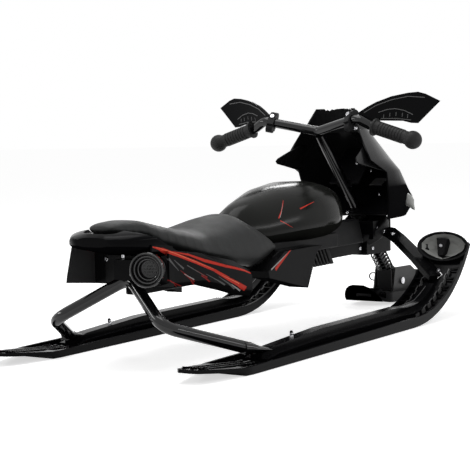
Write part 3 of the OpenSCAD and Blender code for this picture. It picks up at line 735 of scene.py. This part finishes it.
def addTailRibs(bm, values, side):
    low, end = values["tailFloor"], values["tailEnd"]
    pitch, share, length, toothWide, toothHigh = values["tailTooth"]
    wide, high = values["tailRail"]
    for across, fromTip in values["tailRails"]:
        start = values["tailTip"] + fromTip
        railOn(bm, values, side, start, end - start, across, wide, low, high)
        for k in range(int((end - start) / pitch)):
            railOn(bm, values, side, start + (k + share) * pitch, length, across, toothWide, low, toothHigh)
    start, pitch, length, high = values["tailBars"]
    for k, wide in enumerate(values["tailBarWidths"]):
        railOn(bm, values, side, start + k * pitch, length, 0, wide, low, high)


# Moulded lines on the crest's edge and a wavy line on each side of it, in pale grey: painted highlights where they
# would catch the light
def addLightLines(bm, values, side, tree):
    count, degrees, place, toMiddle = values["crest"]
    overlap, wide, depth, over = values["crestLine"]
    for k in range(count):
        run = noseRun(values, k * degrees)
        reach = noseRun(values, (k + 1) * degrees) - run
        across = place * (1 - k / toMiddle)
        high = surfaceHeight(tree, values, side, run + reach / 2, across)
        if high:
            railOn(bm, values, side, run, reach + overlap, across, wide, high - depth, high + over)
    count, outStep, inStep, overlap, wide, high = values["wave"]
    first, last = (noseRun(values, a) for a in values["rungTurn"])
    reach = (last - first) / count
    for sign in (1, -1):
        for k in range(count):
            across = sign * (values["rungSpan"][0] + (outStep if k % 2 else inStep))
            railOn(bm, values, side, first + reach * k, reach + overlap, across, wide, values["floor"], high)


for sideName, nodeName in (("Left", "ski_left"), ("Right", "ski_right")):
    low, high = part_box(nodeName)
    side = (low.y + high.y) / 2
    ribs, lines = bmesh.new(), bmesh.new()
    addNoseRibs(ribs, runnerValues, side)
    addTailRibs(ribs, runnerValues, side)
    addLightLines(lines, runnerValues, side, nodeTree(nodeName))
    finishPiece("runnerRibs" + sideName, ribs, "sled", "satinRunner")
    finishPiece("runnerLines" + sideName, lines, "sled", "paleGreyAndHighlight")


# The same place on the sled's other side when the sign is -1
def mirrored(place, sign):
    x, y, z = place
    return Vector((x, sign * y, z))


pegValues = {
    "place": (-0.3155, 0.2314, 0.0353),
    "lean": (-0.06, 0, 1),
    # radius, height
    "peg": ((0, -0.003), (0.0043, -0.003), (0.0043, 0.00255), (0.003225, 0.0034), (0.004085, 0.0051),
            (0.004085, 0.0085), (0, 0.0085)),
    "cap": ((0, 0.0085), (0.003225, 0.0085), (0.00344, 0.01102), (0.00215, 0.0127), (0, 0.0127)),
}


def makePegs(values):
    pegs, caps = bmesh.new(), bmesh.new()
    for sign in (1, -1):
        stand = aimed(mirrored(values["place"], sign), values["lean"])
        addLathe(pegs, list(values["peg"]), stand, 24)
        addLathe(caps, list(values["cap"]), stand, 24)
    finishPiece("crestPegs", pegs, "sled", "brightSteel", 40)
    finishPiece("crestPegCaps", caps, "sled", "grainedPlastic", 40)


makePegs(pegValues)
print("runners have their ribs and pegs")

# Grips with ribs and a ball end

gripValues = {
    "start": (0.1593, 0.16335, 0.43869),
    "end": (0.1565, 0.261, 0.408),
    "radius": 0.016,
    "bore": 0.0111,
    "flange": ((0.020, 0), (0.020, 0.004), (0.017, 0.0055)),  # radius, place along
    "ribs": (9, 0.012, 0.002),  # count, first one's place, gap before the ball
    "rib": (0.62, 0.70, 0.92, 0.0011),  # shares of the pitch: top's end, groove's start and end; depth
    "ball": (0.0205, 0.015, 14),  # radius, radius where it starts, steps
}


def makeGrip(sideName, sign, values):
    start, end = (mirrored(values[key], sign) for key in ("start", "end"))
    length = (end - start).length
    radius = values["radius"]
    ball, neck, steps = values["ball"]
    profile = [(values["bore"], 0), *values["flange"]]
    count, ribStart, gap = values["ribs"]
    top, grooveStart, grooveEnd, depth = values["rib"]
    pitch = (length - ball - gap - ribStart) / count
    for k in range(count):
        at = ribStart + k * pitch
        profile += [(radius, at), (radius, at + pitch * top), (radius - depth, at + pitch * grooveStart),
                    (radius - depth, at + pitch * grooveEnd)]
    widest = math.pi - math.asin(neck / ball)
    for k in range(steps + 1):
        angle = widest * (1 - k / steps)
        profile.append((max(0.0, ball * math.sin(angle)), length + ball * math.cos(angle)))
    bm = bmesh.new()
    addLathe(bm, profile, aimed(start, end - start), 40)
    bmesh.ops.holes_fill(bm, edges=[e for e in bm.edges if e.is_boundary], sides=0)
    piece = finishPiece("grip" + sideName + "Rubber", bm, "steering", "gripRubber", 50)
    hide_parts("grip_" + sideName.lower())


for sideName, sign in (("Left", 1), ("Right", -1)):
    makeGrip(sideName, sign, gripValues)

# Coil spring around the column

columnValues = {"pivot": (0.5225, 0, 0.048), "axis": (-0.66001, 0, 0.75126)}
springValues = {
    "low": 0.0262,
    "high": 0.102,
    "radius": 0.0185,
    "wire": 0.0036,
    "turns": 7,
    "steps": 26,
    "sides": 12,
}


# A wire's round end beside the upright axis, ready to be spun about it
def wireEnd(bm, sides, wireRadius, out, low=0):
    ring = bmesh.ops.create_circle(bm, segments=sides, radius=wireRadius, cap_ends=False)["verts"]
    bmesh.ops.rotate(bm, verts=ring, cent=(0, 0, 0), matrix=Matrix.Rotation(math.pi / 2, 3, "X"))
    bmesh.ops.translate(bm, verts=ring, vec=(out, 0, low))
    return ring + list({e for v in ring for e in v.link_edges})


def makeSpring(values, column):
    bm = bmesh.new()
    end = wireEnd(bm, values["sides"], values["wire"] / 2, values["radius"], values["low"])
    total = values["turns"] * values["steps"]
    rise = (values["high"] - values["low"]) / total
    bmesh.ops.spin(bm, geom=end, cent=(0, 0, 0), axis=(0, 0, 1), angle=math.tau * values["turns"], steps=total,
                   dvec=(0, 0, rise), use_merge=False)
    bmesh.ops.holes_fill(bm, edges=[e for e in bm.edges if e.is_boundary], sides=0)
    bmesh.ops.transform(bm, matrix=aimed(column["pivot"], column["axis"]), verts=bm.verts)
    piece = finishPiece("coilSpringWire", bm, "steering", "springCoat", 60)
    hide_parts("coil_spring")


makeSpring(springValues, columnValues)

# Dummy exhaust end: three rings round a dished, drilled disc

exhaustValues = {
    "place": (-0.5975, -0.094, 0.192),
    "direction": (0.93969, 0.34202, 0),
    # pairs of radius and depth, or of outer and inner radius for the rings
    "back": ((0.0, 0.052), (0.024, 0.052), (0.0335, 0.010)),
    "rings": ((0.0340, 0.0282), (0.0268, 0.0222), (0.0205, 0.0168)),
    "dish": ((0.0162, 0.021), (0.0, 0.0225)),
    "rims": ((0.0312, 0.0004), (0.0248, 0.0058), (0.0188, 0.0112)),
    "ring": (0.0055, 0.0015, 0.0022, 0.0006, 0.008),  # step in depth, edge's width and depth, wall's lean and depth
    "rim": (0.0009, 0.0006),  # half width, height
    "holes": (1, 6, 12),
    "hole": (0.0062, 0.0200, 0.0014, 0.0022, 0.002),  # spacing, depth, inner and outer radius, height
}


def makeExhaust(values):
    profile = list(values["back"])
    step, edge, edgeDeep, lean, wallDeep = values["ring"]
    for k, (outer, inner) in enumerate(values["rings"]):
        depth = k * step
        profile += [(outer, depth + edgeDeep), (outer - edge, depth), (inner + edge, depth),
                    (inner, depth + edgeDeep), (inner - lean, depth + wallDeep)]
    profile += values["dish"]
    bm, rims = bmesh.new(), bmesh.new()
    turn = aimed(values["place"], values["direction"])
    addLathe(bm, profile, turn, 56)
    spacing, deep, near, far, high = values["hole"]
    for ringIndex, count in enumerate(values["holes"]):
        out = spacing * ringIndex
        for k in range(count):
            angle = math.tau * k / count
            spot = Matrix.Translation((out * math.cos(angle), out * math.sin(angle), deep))
            addLathe(bm, [(near, high), (far, high), (far, 0), (near, 0), (near, high)], turn @ spot, 10)
    # The rims are pale grey: painted highlights on the rings' edges
    half, high = values["rim"]
    for radius, along in values["rims"]:
        addLathe(rims, [(radius, along), (radius + half, along - high), (radius + 2 * half, along), (radius, along)],
                 turn, 56)
    finishPiece("exhaustRims", rims, "sled", "paleGreyAndHighlight", 60)
    piece = finishPiece("exhaustEnd", bm, "sled", "frameEnamel", 30)
    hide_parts("exhaust")


makeExhaust(exhaustValues)

# Hand guards: a bent leaf with a rim, a ridge and three slots

guardValues = {
    "base": (0.1645, 0.121, 0.462),
    "turn": 65.3,
    "thick": 0.0035,
    "outline": ((0, -0.014), (0, 0.010), (0.020, 0.022), (0.040, 0.032), (0.075, 0.044), (0.112, 0.0505), (0.135, 0.052),
                (0.152, 0.047), (0.1843, 0.030), (0.134, -0.018), (0.118, -0.017), (0.100, -0.012), (0.050, -0.010)),
    "length": 0.189,
    "sweep": 0.024,  # how far the tip bends back
    "rims": (0.0042, 0.0018),  # widths of the rim and of the slope inside it
    "dish": 0.0030,
    "cuts": 3,
    # raised lines, as runs of (along, up) points
    "ridges": (((0.012, 0.009), (0.040, 0.0245), (0.075, 0.036), (0.112, 0.0425), (0.150, 0.039)),
               ((0.045, 0.0085), (0.064, 0.0145), (0.082, 0.016), (0.103, 0.0115), (0.1225, 0.0015)),
               ((0.050, -0.0055), (0.085, -0.006), (0.118, -0.0105))),
    "ridge": (-0.0035, 0.0016, 0.0055),  # start off the face, width, depth
    "vents": ((0.056, 0.0), (0.070, 0.003), (0.084, 0.004), (0.098, 0.002), (0.110, -0.001)),
    "vent": (-0.0035, 0.0014, 0.0045),
    "ventReach": (0.0045, 0.004, 0.001),  # below and above its middle, lean
}


# Bends the tip back, then carries the guard to its place on the bar
def placeGuard(bm, values, sign):
    for v in bm.verts:
        v.co.y += values["sweep"] * (max(0.0, v.co.x) / values["length"]) ** 2
    turn = Matrix.Translation(values["base"]) @ Matrix.Rotation(math.radians(values["turn"]), 4, "Z")
    bmesh.ops.transform(bm, matrix=turn, verts=bm.verts)
    bmesh.ops.scale(bm, verts=bm.verts, vec=(1, sign, 1))


# A thin raised bar from one point of the guard's face to another
def addBar(bm, start, end, off, width, depth):
    start, end = Vector((start[0], off, start[1])), Vector((end[0], off, end[1]))
    along = end - start
    verts = addBox(bm, (-along.length / 2, 0, -width / 2), (along.length / 2, depth, width / 2))
    turn = Matrix.Rotation(-math.atan2(along.z, along.x), 4, "Y")
    bmesh.ops.transform(bm, matrix=Matrix.Translation((start + end) / 2) @ turn, verts=verts)


def makeGuard(sideName, sign, values):
    bm = bmesh.new()
    verts = [bm.verts.new((u, 0, v)) for u, v in values["outline"]]
    face = bm.faces.new(verts)
    for width in values["rims"]:
        bmesh.ops.inset_region(bm, faces=[face], thickness=width, depth=0)
    bmesh.ops.translate(bm, verts=face.verts, vec=(0, -values["dish"], 0))
    bmesh.ops.triangulate(bm, faces=[face])
    bmesh.ops.subdivide_edges(bm, edges=bm.edges[:], cuts=values["cuts"], use_grid_fill=True)
    bmesh.ops.recalc_face_normals(bm, faces=bm.faces)
    bmesh.ops.solidify(bm, geom=bm.faces[:], thickness=values["thick"])
    placeGuard(bm, values, sign)
    piece = finishPiece("handGuard" + sideName + "Shell", bm, "steering", "satinRunner", 40)
    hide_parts("hand_guard_" + sideName.lower())
    # The ridges and vents are pale grey: painted highlights along the raised lines
    lines = bmesh.new()
    for ridge in values["ridges"]:
        for first, second in zip(ridge, ridge[1:]):
            addBar(lines, first, second, *values["ridge"])
    below, above, lean = values["ventReach"]
    for u, v in values["vents"]:
        addBar(lines, (u, v - below), (u + lean, v + above), *values["vent"])
    placeGuard(lines, values, sign)
    finishPiece("handGuard" + sideName + "Ribs", lines, "steering", "paleGreyAndHighlight", 40)


for sideName, sign in (("Left", 1), ("Right", -1)):
    makeGuard(sideName, sign, guardValues)
print("grips, spring, exhaust and guards are made")

# Covers that close the steering head, the neck under the tank, and the ski bracket's back

coverValues = {
    "head": ((0.0135, 0.176), (0.050, 0.176), (0.058, 0.182), (0.059, 0.203), (0.055, 0.2095), (0.0135, 0.2115),
             (0.0135, 0.176)),
    "neck": ((0.150, -0.028, 0.160), (0.337, 0.028, 0.2160)),
    "neckTop": 0.6,  # share of the width that is left at the top
    "bracketBack": ((0.4725, -0.0275, 0.030), (0.4760, 0.0120, 0.079)),
    "tailFlap": ((0.050, 0.012), (0.0535, 0.020), (0.0538, 0.029), (0.050, 0.040), (0.042, 0.047),
                 (0.030, 0.0505), (0.0, 0.050), (-0.018, 0.044), (-0.036, 0.032), (-0.050, 0.018), (-0.052, 0.012)),
    "flapPlace": (0.3805, 0.0065),  # along the sled, thickness
}


def makeCovers(values, column):
    bm = bmesh.new()
    addLathe(bm, list(values["head"]), aimed(column["pivot"], column["axis"]), 48)
    low, high = values["neck"]
    for v in addBox(bm, low, high):
        if v.co.z > (low[2] + high[2]) / 2:
            v.co.y *= values["neckTop"]
    finishPiece("headCover", bm, "sled", "grainedPlastic", 40, 0.002)
    bm = bmesh.new()
    addBox(bm, *values["bracketBack"])
    finishPiece("bracketBackPlate", bm, "steering", "grainedPlastic", 40, 0.001)
    bm = bmesh.new()
    x, thick = values["flapPlace"]
    face = bm.faces.new([bm.verts.new((x, y, z)) for y, z in values["tailFlap"]])
    bmesh.ops.solidify(bm, geom=[face], thickness=thick)
    finishPiece("frontSkiTail", bm, "steering", "satinRunner", 40, 0.0012)


makeCovers(coverValues, columnValues)

# Lock pin: a wire ring on a stem

ringValues = {
    "place": (0.5115, 0.0450, 0.0565),
    "radius": 0.0095,
    "stretch": 1.25,
    "wire": 0.0014,
    "stem": (0.5075, 0.0300, 0.0500),
    "stemShare": 0.4,  # of the way from its foot to the ring's middle
}


def makeRing(values):
    bm = bmesh.new()
    end = wireEnd(bm, 12, values["wire"], values["radius"])
    bmesh.ops.spin(bm, geom=end, cent=(0, 0, 0), axis=(0, 0, 1), angle=math.tau, steps=40, use_merge=True)
    bmesh.ops.remove_doubles(bm, verts=bm.verts, dist=0.00001)
    bmesh.ops.scale(bm, verts=bm.verts, vec=(values["stretch"], 1, 1))
    bmesh.ops.rotate(bm, verts=bm.verts, cent=(0, 0, 0), matrix=Matrix(((0, 0, 1), (1, 0, 0), (0, 1, 0))))
    bmesh.ops.translate(bm, verts=bm.verts, vec=values["place"])
    stem = Vector(values["stem"])
    reach = Vector(values["place"]) - stem
    high = reach.length * values["stemShare"]
    addLathe(bm, [(0, 0), (values["wire"], 0), (values["wire"], high), (0, high)], aimed(stem, reach), 12)
    piece = finishPiece("lockPinRing", bm, "steering", "springCoat", 60)
    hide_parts("lock_pin")


makeRing(ringValues)

# Toe cups: a grey faceted lining with a dark middle web

cupValues = {
    "mouth": (0.3461, 0.233, 0.155),
    "lean": 15,
    # half width, half height, depth
    "rings": ((0.0575, 0.0300, 0.003), (0.0500, 0.0240, 0.017), (0.030, 0.0130, 0.0275)),
    "sides": 14,
    "pinch": 0.55,
    "web": (0.017, 0.0225, 0.0100, 0.0300),  # half width, half height, from and to depth
    "webFace": (0.8, 0.9),  # shares of its width and height at the near end
    "webFoot": 0.45,  # share of its width at the lower end
    "webShift": 0.009,  # towards the sled's middle
    "bolt": (0.0042, 0.0025),
    "boltUp": 0.003,
}


# A tube of oval sections, each a half width, a half height and a place along, closed at its last one.
# The pinch narrows the lower half.
def addOvals(bm, sides, sections, capped, pinch=0.0):
    wide, tall, along = sections[0]
    verts = bmesh.ops.create_circle(bm, segments=sides, radius=1, cap_ends=capped)["verts"]
    bmesh.ops.scale(bm, verts=verts, vec=(wide, tall, 1))
    bmesh.ops.translate(bm, verts=verts, vec=(0, 0, along))
    for v in verts:
        if v.co.y < 0:
            v.co.x *= 1 - pinch * (v.co.y / tall) ** 2
    made = list(verts)
    edges = list({e for v in verts for e in v.link_edges})
    for nextWide, nextTall, nextAlong in sections[1:]:
        geom = bmesh.ops.extrude_edge_only(bm, edges=edges)["geom"]
        verts = [g for g in geom if isinstance(g, bmesh.types.BMVert)]
        bmesh.ops.scale(bm, verts=verts, vec=(nextWide / wide, nextTall / tall, 1))
        bmesh.ops.translate(bm, verts=verts, vec=(0, 0, nextAlong - along))
        wide, tall, along = nextWide, nextTall, nextAlong
        edges = [e for e in {e for v in verts for e in v.link_edges} if all(v in verts for v in e.verts)]
        made += verts
    bmesh.ops.holes_fill(bm, edges=edges, sides=0)
    return made


# Puts what is modelled round the origin at a place, its own three axes laid along the given ones
def laid(place, *axes):
    return Matrix.Translation(place) @ Matrix(axes).transposed().to_4x4()


def makeCupLining(sideName, sign, values):
    lean = math.radians(values["lean"])
    up = Vector((math.sin(lean), 0, math.cos(lean)))
    into = Vector((math.cos(lean), 0, -math.sin(lean)))
    turn = laid(mirrored(values["mouth"], sign), Vector((0, 1, 0)), up, into)
    bm = bmesh.new()
    addOvals(bm, values["sides"], values["rings"], False, values["pinch"])
    bmesh.ops.recalc_face_normals(bm, faces=bm.faces)
    bmesh.ops.transform(bm, matrix=turn, verts=bm.verts)
    finishPiece("cupLining" + sideName, bm, "sled", "cupLining", 12, recalc=False)
    bm, bolt = bmesh.new(), bmesh.new()
    half, tall, near, far = values["web"]
    faceWide, faceTall = values["webFace"]
    shift = -sign * values["webShift"]
    for v in addBox(bm, (-half, -tall, near), (half, tall, far)):
        if v.co.z < (near + far) / 2:
            v.co.x *= faceWide
            v.co.y *= faceTall
        if v.co.y < 0:
            v.co.x *= values["webFoot"]
        v.co.x += shift
    bmesh.ops.transform(bm, matrix=turn, verts=bm.verts)
    seat = Matrix.Translation((shift, values["boltUp"], near)) @ Matrix.Rotation(math.pi, 4, "X")
    addLathe(bolt, boltProfile(*values["bolt"]), turn @ seat, 20)
    finishPiece("cupBolt" + sideName, bolt, "sled", "brightSteel", 30)
    finishPiece("cupWeb" + sideName, bm, "sled", "grainedPlastic", 30, 0.0015)


for sideName, sign in (("Left", 1), ("Right", -1)):
    makeCupLining(sideName, sign, cupValues)

# Feet of the rear arch: each tube end is pressed flat where it meets the runner's crest

footValues = {
    # half width, half height, place along the tube
    "sections": ((0.0121, 0.0121, -0.010), (0.0121, 0.0118, 0.006), (0.0150, 0.0070, 0.022),
                 (0.0160, 0.0040, 0.040), (0.0120, 0.0025, 0.052)),
    "ahead": (0.93, 0.30, -0.16),
    "rim": (0.030, 0.06),  # how far its points lie from the foremost and outermost, and the height they lie below
}


def makeFeet(values):
    bm = bmesh.new()
    points = [v.co for v in frame["nodes"]["rear_arch"].data.vertices]
    endX = max(p.x for p in points)
    reach, top = values["rim"]
    for sign in (1, -1):
        # The rim where the tube ends on this side
        own = [p for p in points if p.y * sign > 0]
        far = max(abs(p.y) for p in own)
        rim = [p for p in own if p.x > endX - reach and abs(p.y) > far - reach and p.z < top]
        middle = sum(rim, Vector()) / len(rim)
        ahead = mirrored(values["ahead"], sign)
        turn = Matrix.Translation(middle) @ ahead.to_track_quat("Z", "Y").to_matrix().to_4x4()
        bmesh.ops.transform(bm, matrix=turn, verts=addOvals(bm, 24, values["sections"], True))
    finishPiece("archFeet", bm, "sled", "frameEnamel", 50)


makeFeet(footValues)

# Cowl wings, the light bracket plate inside, and small drop-shaped lamps at the cowl's lower corners

cowlValues = {
    "wing": ((0.258, 0.399), (0.243, 0.397), (0.188, 0.3755), (0.1745, 0.3695), (0.170, 0.363), (0.1765, 0.357),
             (0.235, 0.345), (0.292, 0.333), (0.290, 0.364), (0.276, 0.396)),
    "wall": ((0.331, 0.1140), (0.364, 0.1100), (0.401, 0.0875)),  # height, distance from the middle
    "thick": 0.003,
    "platePlace": (0.4199, -0.0273, 0.3009),
    "plateFacing": (-0.66, 0, 0.751),
    "plate": (0.017, 0.012, -0.001, 0.002),  # half width, half height, back, face
    "plateLean": 0.35,
    "lamp": ((0.4300, 0.0985, 0.2600), (-0.10, 0.62, -0.78)),
    "lampProfile": ((0, -0.016), (0.009, -0.012), (0.0135, 0.0), (0.0125, 0.012), (0.007, 0.021), (0.0035, 0.030),
                    (0, 0.036)),
}


def makeCowlParts(values):
    wings, lamps, plate = bmesh.new(), bmesh.new(), bmesh.new()
    for sign in (1, -1):
        verts = [wings.verts.new((x, sign * between(values["wall"], z)[0], z)) for x, z in values["wing"]]
        face = wings.faces.new(verts)
        face.normal_update()
        if face.normal.y * sign < 0:
            face.normal_flip()
        cut = bmesh.ops.triangulate(wings, faces=[face])["faces"]
        bmesh.ops.solidify(wings, geom=cut, thickness=values["thick"])
        place, direction = (mirrored(point, sign) for point in values["lamp"])
        addLathe(lamps, list(values["lampProfile"]), aimed(place, direction), 24)
    finishPiece("cowlWings", wings, "steering", "cowlSkin", 30, 0.0008)
    finishPiece("cowlLamps", lamps, "steering", "cupLining", 50)
    half, tall, back, front = values["plate"]
    for v in addBox(plate, (-half, -tall, back), (half, tall, front)):
        v.co.x += values["plateLean"] * v.co.y
    out, across = Vector(values["plateFacing"]), Vector((0, -1, 0))
    turn = laid(values["platePlace"], across, out.cross(across), out)
    bmesh.ops.transform(plate, matrix=turn, verts=plate.verts)
    finishPiece("bracketPlate", plate, "steering", "paleGreyAndHighlight", 30, 0.0005)


makeCowlParts(cowlValues)
print("covers, cups, feet and cowl parts are made")

# Seat pad: the CAD solid, remeshed, swollen as cloth and smoothed

seatValues = {
    "voxel": 0.005,
    "shrink": 0.0035,
    "pressure": 3.0,
    "cap": 0.0045,
    "frames": 20,
    "fill": 0.7,
    "smoothing": 8,
    "section": 0.012,  # length of one section along the sled
    "curves": (0.7, 3, 1.15),  # how sharply lift, widening and drawing in come on with height
    # along the sled: lift of the top, widening, drop of the lower edge, drawing in of the crown
    "shape": ((-0.63, 0.008, 1.00, -0.006, 0.00), (-0.54, 0.005, 1.04, -0.003, 0.05),
              (-0.50, 0.006, 1.10, 0.006, 0.08), (-0.445, 0.007, 1.10, 0.006, 0.12),
              (-0.40, -0.004, 1.06, 0.003, 0.22), (-0.367, -0.005, 1.02, 0.0, 0.36),
              (-0.29, -0.004, 1.00, 0.0, 0.52), (-0.22, -0.001, 1.00, 0.0, 0.54), (-0.12, 0.0, 1.00, 0.0, 0.42)),
}


# Moves the pad's crown, sides and lower edge by the table, section by section
def shapeSeat(verts, values):
    step = values["section"]
    liftCurve, widenCurve, peakCurve = values["curves"]
    spans = {}
    for v in verts:
        key = round(v.co.x / step)
        low, high = spans.get(key, (v.co.z, v.co.z))
        spans[key] = (min(low, v.co.z), max(high, v.co.z))
    for v in verts:
        low, high = spans[round(v.co.x / step)]
        share = (v.co.z - low) / max(0.001, high - low)
        lift, widen, drop, peak = between(values["shape"], v.co.x)
        v.co.z += lift * share ** liftCurve - drop * (1 - share)
        v.co.y *= (1 + (widen - 1) * (1 - share ** widenCurve)) * (1 - peak * share ** peakCurve)


def applyModifier(piece, modifier):
    bpy.context.view_layer.objects.active = piece
    for other in bpy.context.selected_objects:
        other.select_set(False)
    piece.select_set(True)
    bpy.ops.object.modifier_apply(modifier=modifier.name)


def makeSeat(values):
    bm = mergedCopy("seat_pad")
    bmesh.ops.triangulate(bm, faces=bm.faces)
    bm.normal_update()
    for v in bm.verts:
        v.co -= v.normal * values["shrink"]
    data = bpy.data.meshes.new("seatCushion")
    bm.to_mesh(data)
    bm.free()
    seat = bpy.data.objects.new("seatCushion", data)
    scene.collection.objects.link(seat)
    remesh = seat.modifiers.new("even", "REMESH")
    remesh.mode = "VOXEL"
    remesh.voxel_size = values["voxel"]
    applyModifier(seat, remesh)
    shapeSeat(seat.data.vertices, values)
    rest = [v.co.copy() for v in seat.data.vertices]
    cloth = seat.modifiers.new("stuffing", "CLOTH")
    cloth.settings.use_pressure = True
    cloth.settings.uniform_pressure_force = values["pressure"]
    cloth.settings.effector_weights.gravity = 0
    cloth.point_cache.frame_end = values["frames"]
    for step in range(1, values["frames"] + 1):
        scene.frame_set(step)
    applyModifier(seat, cloth)
    scene.frame_set(1)
    for v, old in zip(seat.data.vertices, rest):
        move = v.co - old
        if move.length > values["cap"]:
            v.co = old + move * (values["cap"] / move.length)
    bm = bmesh.new()
    bm.from_mesh(seat.data)
    for _ in range(values["smoothing"]):
        bmesh.ops.smooth_vert(bm, verts=bm.verts, factor=0.5, use_axis_x=True, use_axis_y=True, use_axis_z=True)
    bm.to_mesh(seat.data)
    bm.free()
    soft = seat.modifiers.new("soft", "SUBSURF")
    soft.levels = soft.render_levels = 1
    seat.data.shade_smooth()
    seat.data.materials.clear()
    seat.data.materials.append(finishes["seatCover"])
    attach(seat, "sled")
    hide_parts("seat_pad")
    print("seat cushion has", len(seat.data.vertices), "points")


makeSeat(seatValues)

# Fasteners: snapped to the surface of the node that each one holds

boltValues = {
    # node, place near its surface, head's radius and height; a star stands for the right side and the left
    "sled": (
        ("backbone", (0.337, -0.017, 0.145), (0.0045, 0.0025)),
        ("steering_head", (0.379, -0.028, 0.142), (0.0045, 0.0025)),
        ("front_arm_*", (0.387, 0.056, 0.184), (0.0048, 0.003)),
        ("front_arm_*", (0.3765, 0.0864, 0.1788), (0.0048, 0.003)),
        ("front_arm_*", (0.3266, 0.2319, 0.0992), (0.0052, 0.004)),
        ("steering_head", (0.3736, -0.046, 0.1923), (0.0045, 0.0025)),
        ("steering_head", (0.3736, 0.046, 0.1923), (0.0045, 0.0025)),
        ("tail_wall", (-0.5215, 0.0631, 0.2016), (0.0045, 0.002)),
        ("tail_wall", (-0.5215, 0.0200, 0.2080), (0.0045, 0.002)),
    ),
    "steering": (
        ("cowl_bracket", (0.3474, -0.0099, 0.3494), (0.0045, 0.003)),
        ("cowl_bracket", (0.449, 0.0092, 0.3264), (0.0045, 0.003)),
        ("cowl_bracket", (0.3241, 0.0263, 0.3290), (0.0045, 0.003)),
        ("cowl_bracket", (0.3875, -0.0459, 0.2724), (0.0045, 0.003)),
        ("cowl_bracket", (0.3408, 0.0160, 0.2314), (0.0045, 0.003)),
        ("bar_clamp_*", (0.1497, 0.1017, 0.4687), (0.0050, 0.003)),
        ("bar_clamp_*", (0.1552, 0.1166, 0.4374), (0.0050, 0.003)),
    ),
}


def makeBolts(body, bolts):
    bm = bmesh.new()
    for nodeName, place, size in bolts:
        for side, sign in (("right", -1), ("left", 1)) if "*" in nodeName else (("", 1),):
            tree = nodeTree(nodeName.replace("*", side))
            point, normal, _, _ = tree.find_nearest(mirrored(place, sign))
            addLathe(bm, boltProfile(*size), aimed(point, normal), 20)
    finishPiece(body + "Bolts", bm, body, "brightSteel", 30)


for body, bolts in boltValues.items():
    makeBolts(body, bolts)
print("bolts are set")

low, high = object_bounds()
